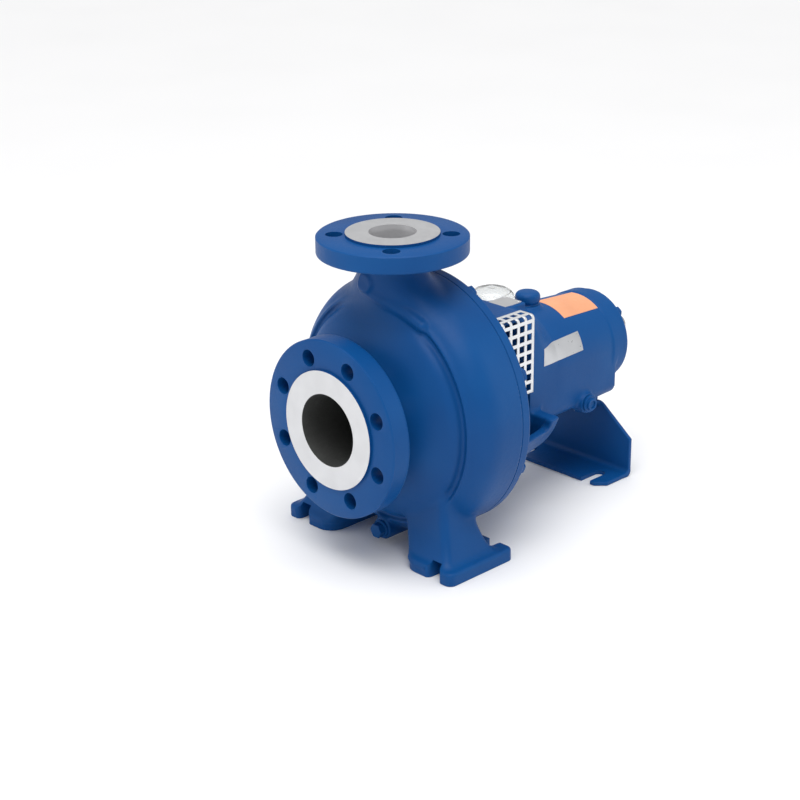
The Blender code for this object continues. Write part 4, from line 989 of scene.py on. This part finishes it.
# ------------------------------------------------------------------------- guards
def guard_mesh(side):
    """Square-holed sheet over a lantern window, folded in at the top."""
    low, high = node_box("guard_near")
    face, top, bottom = -low.y - 0.0006, high.z - 0.0006, low.z + 0.0002
    bend, inner = 0.0040, 0.0485
    path = [(inner, top)]
    for i in range(9):
        a = math.radians(90 * i / 8)
        path.append((face - bend + bend * math.sin(a), top - bend + bend * math.cos(a)))
    path.append((face, bottom))
    lengths = [0.0]
    for a, b in zip(path, path[1:]):
        lengths.append(lengths[-1] + math.dist(a, b))
    hole, bar = 0.008, 0.004
    columns = round((high.x - low.x - bar) / (hole + bar))
    rows = 9
    downs = [0.0]
    for _ in range(rows):
        downs += [downs[-1] + bar, downs[-1] + bar + hole]
    downs.append(min(downs[-1] + bar, lengths[-1]))
    fold = lengths[1:-1]
    stops = sorted(set(downs + fold + [lengths[-1]] if downs[-1] < lengths[-1] else downs + fold))
    acrosses = [0.0]
    for _ in range(columns):
        acrosses += [acrosses[-1] + bar, acrosses[-1] + bar + hole]
    acrosses.append(acrosses[-1] + bar)
    work = bmesh.new()
    grid = []
    for down in stops:
        y = np.interp(down, lengths, [p[0] for p in path])
        z = np.interp(down, lengths, [p[1] for p in path])
        grid.append([work.verts.new((low.x + along_x, side * y, z)) for along_x in acrosses])
    for j in range(len(grid) - 1):
        middle = (stops[j] + stops[j + 1]) / 2
        in_row = middle < rows * (bar + hole) and middle % (bar + hole) > bar
        for i in range(len(acrosses) - 1):
            if in_row and i % 2 == 1:
                continue
            quad = (grid[j][i], grid[j][i + 1], grid[j + 1][i + 1], grid[j + 1][i])
            work.faces.new(quad if side > 0 else tuple(reversed(quad)))
    return finished(f"guard_{side}", work)


def build_guards():
    for side, node in ((-1, "guard_near"), (1, "guard_far")):
        mesh = guard_mesh(side)
        made = add_piece(node + "_sheet", mesh, [GALVANISED], replaces=(node,))
        sheet = made.modifiers.new("sheet", "SOLIDIFY")
        sheet.thickness = 0.0012
        sheet.offset = 0
        soft = made.modifiers.new("edges", "BEVEL")
        soft.width = 0.00022
        soft.segments = 1
        soft.limit_method = "ANGLE"
        soft.angle_limit = math.radians(50)


# -------------------------------------------------------------------- covers, plugs
def build_covers():
    front = [(0.1600, 0.0178), (0.1600, 0.0437), (0.1610, 0.0447), (0.1690, 0.0447), (0.1690, 0.0306),
             (0.1797, 0.0306), (0.1797, 0.0265), (0.1690, 0.0265), (0.1690, 0.0178)]
    turned_piece("inboard_cover_disc", front, PAINT, replaces=("inboard_bearing_cover",))
    rear = smooth_line([(0.3240, 0.0560), (0.3246, 0.0565), (0.3322, 0.0565), (0.3340, 0.0556),
                        (0.3345, 0.0540)], 3)
    rear = [(0.3240, 0.0175), (0.3073, 0.0265), (0.3073, 0.0306), (0.3240, 0.0306)] + rear
    rear += [(0.3345, 0.0260), (0.3335, 0.0250), (0.3335, 0.0178)]
    turned_piece("outboard_cover_disc", rear, PAINT, replaces=("outboard_bearing_cover",))
    cover = [(0.030, 0.0525), (0.030, 0.1305), (0.046, 0.1305), (0.046, 0.064), (0.0485, 0.0610),
             (0.054, 0.0590), (0.0905, 0.0565), (0.092, 0.0550), (0.092, 0.0268), (0.084, 0.0268),
             (0.084, 0.030), (0.046, 0.030), (0.046, 0.0170), (0.040, 0.0170), (0.040, 0.0525)]
    turned_piece("seal_housing_cover", cover, PAINT, replaces=("casing_cover",), steps=128)


def build_plugs():
    cap = smooth_line([(0.0825, 0.0001), (0.0823, 0.0060), (0.0817, 0.0100), (0.0802, 0.0129),
                       (0.0775, 0.0145), (0.0742, 0.0148), (0.0714, 0.0145), (0.0696, 0.0136),
                       (0.0688, 0.0128)], 4)
    cap = [(0.0825, 0)] + cap + [(0.0682, 0.0124), (0.0676, 0.0128), (0.0670, 0.0132), (0.0668, 0.0128),
                                 (0.0668, 0.0075), (0.0460, 0.0075), (0.0460, 0)]
    turned_piece("vent_plug_cap", cap, SMOOTH_PAINT, replaces=("vent_plug",),
                 axis=(0, 0, 1), at=(VENT_X, 0, 0))
    level = [(0.0530, 0), (0.0530, 0.0065), (0.0668, 0.0070), (0.0668, 0.0101), (0.0672, 0.0105),
             (0.0694, 0.0105), (0.0700, 0.0098), (0.0700, 0.0078), (0.0704, 0.0074), (0.0728, 0.0074),
             (0.0734, 0.0068), (0.0734, 0.0048), (0.0716, 0.0044), (0.0716, 0)]
    turned_piece("level_plug_screw", level, SMOOTH_PAINT, replaces=("level_plug",),
                 axis=(0, -1, 0), at=LEVEL_PLUG)
    mesh = joined("drain_head", *hex_head(0.015, 0.0078), "INTERSECT")
    work = bmesh.new()
    work.from_mesh(mesh)
    collar = [(-0.0182, 0), (-0.0182, 0.0057), (0, 0.0057), (0, 0.0100), (0.0005, 0.0105),
              (0.0028, 0.0105), (0.0034, 0.0098), (0.0034, 0)]
    for v in work.verts:
        v.co.x += 0.0030
    turned_mesh(work, collar, 48)
    for v in work.verts:
        v.co = Vector((DRAIN[0] - v.co.x, v.co.y, DRAIN[2] + v.co.z))
    bmesh.ops.recalc_face_normals(work, faces=work.faces)
    add_piece("drain_plug_hex", finished("drain_plug_hex", work), [SMOOTH_PAINT],
              replaces=("drain_plug",))


def build_oiler():
    x, y, z = OILER_X, OILER_Y, OILER_Z
    elbow = [(0.0400, 0), (0.0400, 0.0060), (0.0786, 0.0060), (0.0790, 0.0056), (0.0790, 0)]
    work = turned_mesh(bmesh.new(), elbow, 48, along((0, 1, 0), (x, 0, z)))
    nut = joined("elbow_nut", *hex_head(0.0172, 0.0056, 0.0003), "INTERSECT")
    place = along((0, 1, 0), (x, 0.0684, z))
    ring = bmesh.new()
    ring.from_mesh(nut)
    ring.transform(place)
    ring.to_mesh(nut)
    ring.free()
    work.from_mesh(nut)
    add_piece("oiler_pipe", finished("oiler_pipe", work), [STEEL], replaces=("oiler_elbow",))
    cup = smooth_line([(0.0030, 0.0196), (0.0028, 0.0207), (0.0016, 0.0211), (-0.0120, 0.0211),
                       (-0.0150, 0.0208), (-0.0220, 0.0192), (-0.0340, 0.0176), (-0.0378, 0.0168),
                       (-0.0395, 0.0150), (-0.0400, 0.0120)], 4)
    cup = [(0.0030, 0)] + cup + [(-0.0400, 0)]
    turned_piece("oiler_seat", cup, SMOOTH_PAINT, "oiler_reservoir", ("oiler_cup",),
                 (0, 0, 1), (x, y, 0))
    outer = smooth_line([(0.0033, 0.0172), (0.0050, 0.0184), (0.0085, 0.0222), (0.0125, 0.0270),
                         (0.0180, 0.0289), (0.0345, 0.0289), (0.0430, 0.0272), (0.0488, 0.0220),
                         (0.0520, 0.0130), (0.0529, 0.0060), (0.0530, 0.0008)], 5)
    wall = 0.0016
    inner = [(max(min(a - (wall if r < 0.024 and a > 0.04 else 0), 0.0512), 0.0049), max(r - wall, 0.0))
             for a, r in outer]
    inner[-1] = (0.0513, 0)
    glass = [(0.0033, 0)] + outer + [(0.0530, 0)]
    work = turned_mesh(bmesh.new(), glass, 96, along((0, 0, 1), (x, y, 0)))
    turned_mesh(work, [(0.0049, 0)] + inner, 96, along((0, 0, 1), (x, y, 0)))
    half = len(work.faces) // 2
    work.faces.ensure_lookup_table()
    bmesh.ops.reverse_faces(work, faces=[face for face in list(work.faces)[half:]])
    add_piece("oiler_dome", finished("oiler_dome", work), [CLEAR], "oiler_reservoir",
              ("oiler_bottle",))
    oil = [(a, r - 0.0001) for a, r in inner if a < 0.0215]
    oil = [(0.0051, 0), (0.0051, oil[0][1])] + oil[1:] + [(0.0218, oil[-1][1]), (0.0214, 0)]
    turned_piece("oiler_oil", oil, OIL, "oiler_reservoir", (), (0, 0, 1), (x, y, 0))


# -------------------------------------------------------------------------- rotor
def keyed(name, profile, steps, boxes, material):
    """A turned piece with box-shaped slots cut into it."""
    mesh = finished(name, turned_mesh(bmesh.new(), profile, steps))
    mesh.materials.append(material)
    return carve(mesh, [cutter(f"{name}_{i}", work, [material]) for i, work in enumerate(boxes)], [material])


def round_ended(x0, x1, half, z0, z1):
    """A slot outline with round ends, upright."""
    arc = [math.radians(90 + 180 * i / 10) for i in range(11)]
    outline = [(x0 + half + half * math.cos(a), half * math.sin(a)) for a in arc]
    outline += [(x1 - half - half * math.cos(a), -half * math.sin(a)) for a in arc]
    return prism(bmesh.new(), outline, z0, z1)


def build_shaft():
    end = SHAFT_END_X
    profile = [(-0.0300, 0), (-0.0300, 0.0068), (-0.0290, 0.0078), (-0.0110, 0.0078), (-0.0110, 0.0110),
               (0.0990, 0.0110), (0.0990, 0.0121), (0.1795, 0.0121), (0.1795, 0.0125), (0.1972, 0.0125),
               (0.1972, 0.0155), (0.2898, 0.0155), (0.2898, 0.0125), (0.3072, 0.0125), (0.3072, 0.0110),
               (0.3092, 0.0110), (0.3092, 0.0123), (0.3346, 0.0123), (0.3354, 0.0120),
               (end - 0.0013, 0.0120), (end, 0.0107), (end, 0.0036), (end - 0.0006, 0.0031),
               (end - 0.0040, 0.0013), (end - 0.0040, 0)]
    slots = [round_ended(-0.0050, 0.0220, 0.0030, 0.0075, 0.02),
             round_ended(0.3430, 0.3800, 0.0040, 0.0080, 0.02)]
    made = keyed("shaft_bar", profile, 128, slots, SHAFT_STEEL)
    add_piece("shaft_bar", made, body="rotor", replaces=("pump_shaft",))
    key = round_ended(0.3433, 0.3797, 0.0037, 0.0083, 0.0150)
    made = add_piece("coupling_key_bar", finished("coupling_key_bar", key), [STEEL], "rotor",
                     ("coupling_key",))
    soft = made.modifiers.new("edges", "BEVEL")
    soft.width, soft.segments, soft.limit_method = 0.0004, 2, "ANGLE"
    sleeve = [(0.0268, 0.0113), (0.0268, 0.0146), (0.0272, 0.0150), (0.0983, 0.0150), (0.0987, 0.0146),
              (0.0987, 0.0113)]
    turned_piece("sleeve_tube", sleeve, SHAFT_STEEL, "rotor", ("shaft_sleeve",))
    thrower = smooth_line([(0.1400, 0.0135), (0.1400, 0.0160), (0.1412, 0.0176), (0.1436, 0.0208),
                           (0.1446, 0.0215), (0.1476, 0.0215), (0.1480, 0.0208)], 3)
    turned_piece("thrower_disc", [(0.1400, 0.0124)] + thrower + [(0.1480, 0.0124)], RUBBER, "rotor",
                 ("shaft_thrower",))


def build_impeller():
    rim = 0.1045
    rear = [(-0.0130, 0.0113), (-0.0130, 0.0180), (-0.0050, 0.0200), (0.0020, 0.0245), (0.0070, 0.0320),
            (0.0095, 0.0430), (0.0095, rim), (0.0140, rim), (0.0140, 0.0458), (0.0270, 0.0458),
            (0.0270, 0.0420), (0.0140, 0.0420), (0.0140, 0.0200), (0.0265, 0.0185), (0.0265, 0.0113)]
    work = turned_mesh(bmesh.new(), rear, 120)
    front = [(-0.0325, 0.0414), (-0.0330, 0.0420), (-0.0330, 0.0452), (-0.0324, 0.0458), (-0.0150, 0.0458),
             (-0.0085, 0.0600), (-0.0050, rim), (-0.0015, rim), (-0.0045, 0.0600), (-0.0105, 0.0430),
             (-0.0200, 0.0405)]
    turned_mesh(work, front, 120)
    vanes, spans = 6, 18
    across = Matrix(((0, 0, 1, 0), (1, 0, 0, 0), (0, 1, 0, 0), (0, 0, 0, 1)))
    for i in range(vanes):
        outline = []
        for side, parts in ((1, range(spans + 1)), (-1, range(spans, -1, -1))):
            for j in parts:
                part = j / spans
                radius = 0.038 + (rim - 0.0393) * part
                a = math.tau * i / vanes - 1.15 * part
                width = side * (0.0022 + 0.0008 * part) * min(1, (part + 0.01) * 8)
                outline.append((radius * math.cos(a) - width * math.sin(a),
                                radius * math.sin(a) + width * math.cos(a)))
        prism(work, outline, -0.0050, 0.0115, across)
    add_piece("impeller_wheel", finished("impeller_wheel", work), [BORE_DARK], "rotor",
              ("impeller",))
    nut = joined("nut", *hex_head(0.027, 0.0120, 0.0004), "INTERSECT")
    work = bmesh.new()
    work.from_mesh(nut)
    for v in work.verts:
        v.co.x = -0.0150 - v.co.x
    dome = smooth_line([(-0.0262, 0.0122), (-0.0280, 0.0119), (-0.0310, 0.0104), (-0.0338, 0.0080),
                        (-0.0354, 0.0045), (-0.0359, 0.0004)], 4)
    turned_mesh(work, [(-0.0262, 0)] + dome + [(-0.0360, 0)], 64)
    bmesh.ops.recalc_face_normals(work, faces=work.faces)
    add_piece("impeller_nut_hex", finished("impeller_nut_hex", work), [STEEL], "rotor",
              ("impeller_nut",))


# -------------------------------------------------------------- plate and stickers
def build_rating_plate():
    low, high = node_box("rating_plate")
    corner = 0.0018
    outline = []
    for cx, cy, start in ((high.x - corner, high.y - corner, 0), (low.x + corner, high.y - corner, 90),
                          (low.x + corner, low.y + corner, 180), (high.x - corner, low.y + corner, 270)):
        for i in range(6):
            a = math.radians(start + 18 * i)
            outline.append((cx + corner * math.cos(a), cy + corner * math.sin(a)))
    work = prism(bmesh.new(), outline, low.z, high.z)
    for x in (low.x + 0.0030, high.x - 0.0030):
        for y in (low.y + 0.0030, high.y - 0.0030):
            head = [(high.z - 0.0002, 0), (high.z - 0.0002, 0.0015), (high.z + 0.0003, 0.0014),
                    (high.z + 0.0007, 0.0008), (high.z + 0.0008, 0)]
            turned_mesh(work, head, 20, along((0, 0, 1), (x, y, 0)))
    add_piece("blank_rating_plate", finished("blank_rating_plate", work), [PLATE],
              replaces=("rating_plate",))


def fan(low, high, count=36):
    """Rays as (z, y way, z way) from the shaft axis, between two angles from upright."""
    return [(0.0, -math.sin(a), math.cos(a)) for a in np.radians(np.linspace(low, high, count))]


def level(low, high, count=36):
    """Level rays, as (z, y way, z way), towards the near side between two heights."""
    return [(z, -1.0, 0.0) for z in np.linspace(high, low, count)]


def sticker(name, field, x0, x1, rays, paint, thickness=0.00025):
    """A thin sheet laid on the housing where the rays come out of it."""
    across, round_it = 40, len(rays)
    grid_x = np.repeat(np.linspace(x0, x1, across), round_it)
    start, way_y, way_z = (np.tile(v, across) for v in zip(*rays))

    def at(reach):
        return np.stack([grid_x, way_y * reach, start + way_z * reach], axis=1)
    near, far = np.full(grid_x.shape, 0.040), np.full(grid_x.shape, 0.085)
    for _ in range(22):
        middle = (near + far) / 2
        places = at(middle)
        inside = field.sample(places)[0] < 0
        near, far = np.where(inside, middle, near), np.where(inside, far, middle)
    work = bmesh.new()
    layers = []
    for lift in (-0.0003, thickness):
        places = at(near + lift)
        layers.append([work.verts.new(p) for p in places])

    def vert(layer, i, j):
        return layers[layer][i * round_it + j]
    for i in range(across - 1):
        for j in range(round_it - 1):
            work.faces.new([vert(1, i, j), vert(1, i, j + 1), vert(1, i + 1, j + 1), vert(1, i + 1, j)])
            work.faces.new([vert(0, i, j), vert(0, i + 1, j), vert(0, i + 1, j + 1), vert(0, i, j + 1)])
    edge = [(i, 0) for i in range(across)] + [(across - 1, j) for j in range(1, round_it)]
    edge += [(i, round_it - 1) for i in range(across - 2, -1, -1)]
    edge += [(0, j) for j in range(round_it - 2, 0, -1)]
    for (i, j), (k, l) in zip(edge, edge[1:] + edge[:1]):
        work.faces.new([vert(0, i, j), vert(1, i, j), vert(1, k, l), vert(0, k, l)])
    bmesh.ops.recalc_face_normals(work, faces=work.faces)
    add_piece(name, finished(name, work), [paint])


# ------------------------------------------------------------------- more finishes
def glass_finish(name):
    f = Finish(name, (0.96, 0.975, 0.98), 0.05)
    f.shader.inputs["Transmission Weight"].default_value = 0.96
    f.shader.inputs["IOR"].default_value = 1.46
    f.rough(f.span(f.noise(90.0, 3.0), 0.3, 0.7, 0.02, 0.09))
    f.bump(f.noise(30.0, 2.0), 0.0004, 0.15)
    return f.material


def oil_finish(name):
    f = Finish(name, (0.90, 0.62, 0.20), 0.02)
    f.shader.inputs["Transmission Weight"].default_value = 0.9
    f.shader.inputs["IOR"].default_value = 1.47
    f.colour(f.mixed(f.noise(20.0, 1.0), (0.90, 0.60, 0.18), (0.94, 0.70, 0.28)))
    return f.material


def sticker_finish(name, colour, sheen, rough=0.34):
    """A printed film left blank: slight mottle, and a soft sheen that varies along it."""
    f = Finish(name, colour, rough, sheen)
    f.colour(f.mixed(f.span(f.noise(14.0, 2.0), 0.35, 0.65, 0, 1), tuple(0.84 * c for c in colour),
                     tuple(min(1, 1.05 * c) for c in colour)))
    f.rough(f.span(f.noise(220.0, 2.0), 0.3, 0.7, rough * 0.8, rough * 1.3))
    f.bump(f.noise(60.0, 2.0), 0.0002, 0.3)
    return f.material


GALVANISED = metal_finish("galvanised_sheet_finish", (0.80, 0.81, 0.82), 0.40, 0.55, 120.0, 0.00005)
SHAFT_STEEL = metal_finish("ground_shaft_steel", (0.62, 0.63, 0.65), 0.22, 1.0, 240.0, 0.00003)
RUBBER = metal_finish("black_rubber", (0.018, 0.018, 0.019), 0.7, 0.0, 400.0, 0.0001)
CARBON = metal_finish("seal_carbon", (0.035, 0.035, 0.04), 0.4, 0.1, 300.0, 0.00003)
BRONZE = metal_finish("wear_ring_bronze", (0.50, 0.34, 0.16), 0.34, 1.0, 200.0, 0.00003)
GASKET = metal_finish("gasket_paper", (0.10, 0.13, 0.11), 0.85, 0.0, 500.0, 0.0001)
PLATE = metal_finish("brushed_plate", (0.72, 0.72, 0.73), 0.34, 0.8, 90.0, 0.00002)
CLEAR = glass_finish("clear_bottle")
OIL = oil_finish("bearing_oil")
SILVER_FILM = sticker_finish("blank_silver_film", (0.52, 0.53, 0.55), 0.55)
ORANGE_FILM = sticker_finish("blank_orange_film", (0.90, 0.40, 0.21), 0.0, 0.45)


def repaint(names, material):
    """Gives nodes that keep their frame shape a finer finish."""
    for name in names:
        for place in frame["nodes"][name].material_slots:
            place.material = material


# ----------------------------------------------------------------------- assembly
build_casing()
housing = build_bracket()
build_support_foot()
build_guards()
build_covers()
build_plugs()
build_oiler()
build_shaft()
build_impeller()
build_rating_plate()
sticker("blank_silver_sticker", housing, 0.175, 0.248, level(0.016, 0.037), SILVER_FILM)
sticker("blank_orange_sticker", housing, 0.240, 0.303, fan(-8, 35), ORANGE_FILM)
add_screws("casing_screw", 0.016, 0.0064, 0.0050, 0.034, (1, 0, 0), SMOOTH_PAINT)
add_screws("inboard_cover_screw", 0.008, 0.0035, 0.0025, 0.012, (-1, 0, 0), SMOOTH_PAINT)
add_screws("outboard_cover_screw", 0.013, 0.0053, 0.0040, 0.022, (1, 0, 0), SMOOTH_PAINT)
add_screws("support_foot_screw", 0.016, 0.0064, 0.0050, 0.016, (0, 0, -1), SMOOTH_PAINT)
repaint(("suction_wear_ring", "cover_wear_ring"), BRONZE)
repaint(("casing_gasket",), GASKET)
repaint(("seal_seat", "seal_ring"), CARBON)
repaint(("inboard_lip_seal", "outboard_lip_seal"), RUBBER)
repaint([n for n in frame["nodes"] if "bearing_" in n and n.split("_")[1] == "bearing"
         and ("ring" in n or "ball" in n)], STEEL)
repaint(("impeller_lock_washer", "impeller_key", "seal_spring", "seal_collar", "shaft_circlip"), STEEL)


# ------------------------------------------------------------------ light and camera
def area_light(name, place, size, power):
    """A soft rectangle of light aimed at the middle of the pump."""
    lamp = bpy.data.lights.new(name, "AREA")
    lamp.shape = "RECTANGLE"
    lamp.size, lamp.size_y = size
    lamp.energy = power
    made = bpy.data.objects.new(name, lamp)
    bpy.context.scene.collection.objects.link(made)
    made.location = place
    made.rotation_euler = (Vector((0, 0, 0.15)) - Vector(place)).to_track_quat("-Z", "Y").to_euler()


def studio():
    """A white paper floor under even light; the camera sees plain white beyond it."""
    work = bmesh.new()
    half, below = 6.0, -0.0002
    work.faces.new([work.verts.new((half * x, half * y, below))
                    for x, y in ((-1, -1), (1, -1), (1, 1), (-1, 1))])
    mesh = bpy.data.meshes.new("studio_floor")
    work.to_mesh(mesh)
    work.free()
    f = Finish("studio_floor_paper", (0.93, 0.93, 0.935), 0.7)
    f.rough(f.span(f.noise(3.0, 2.0), 0.3, 0.7, 0.62, 0.78))
    mesh.materials.append(f.material)
    floor = bpy.data.objects.new("studio_floor", mesh)
    bpy.context.scene.collection.objects.link(floor)
    world = bpy.data.worlds.new("studio_white")
    world.use_nodes = True
    nodes, links = world.node_tree.nodes, world.node_tree.links
    soft = nodes["Background"]
    soft.inputs["Color"].default_value = (1.0, 1.0, 1.0, 1)
    soft.inputs["Strength"].default_value = 0.52
    seen = nodes.new("ShaderNodeBackground")
    seen.inputs["Color"].default_value = (1.0, 1.0, 1.0, 1)
    seen.inputs["Strength"].default_value = 1.0
    rays, choice = nodes.new("ShaderNodeLightPath"), nodes.new("ShaderNodeMixShader")
    links.new(rays.outputs["Is Camera Ray"], choice.inputs[0])
    links.new(soft.outputs[0], choice.inputs[1])
    links.new(seen.outputs[0], choice.inputs[2])
    links.new(choice.outputs[0], nodes["World Output"].inputs["Surface"])
    bpy.context.scene.world = world
    area_light("key_overhead", (-0.9, -0.7, 1.9), (1.4, 1.0), 15)
    area_light("fill_front", (-1.6, 0.9, 0.9), (1.0, 1.0), 3.5)
    area_light("rim_side", (1.2, -1.5, 0.8), (0.5, 1.4), 4)
    ceiling = bpy.data.lights.new("ceiling", "SUN")
    ceiling.energy = 1.55
    ceiling.angle = math.radians(60)
    bpy.context.scene.collection.objects.link(bpy.data.objects.new("ceiling", ceiling))
    bpy.context.scene.view_settings.view_transform = "Standard"


def place_camera():
    """The camera stands off the suction end, above the near side."""
    lens = bpy.data.cameras.new("camera")
    lens.sensor_width = 36.0
    lens.lens = 83.59
    made = bpy.data.objects.new("camera", lens)
    bpy.context.scene.collection.objects.link(made)
    azimuth, elevation, roll = (math.radians(v) for v in (-43.87, 21.67, -0.60))
    back = Vector((math.sin(azimuth) * math.cos(elevation), -math.cos(azimuth) * math.cos(elevation),
                   math.sin(elevation)))
    right = (-back).cross(Vector((0, 0, 1))).normalized()
    down = (-back).cross(right)
    c, s = math.cos(roll), math.sin(roll)
    right, down = c * right - s * down, s * right + c * down
    turn = Matrix((right, -down, back)).transposed()
    made.matrix_world = Matrix.Translation((-1.4558, -1.3749, 0.9224)) @ turn.to_4x4()
    bpy.context.scene.camera = made


studio()
place_camera()
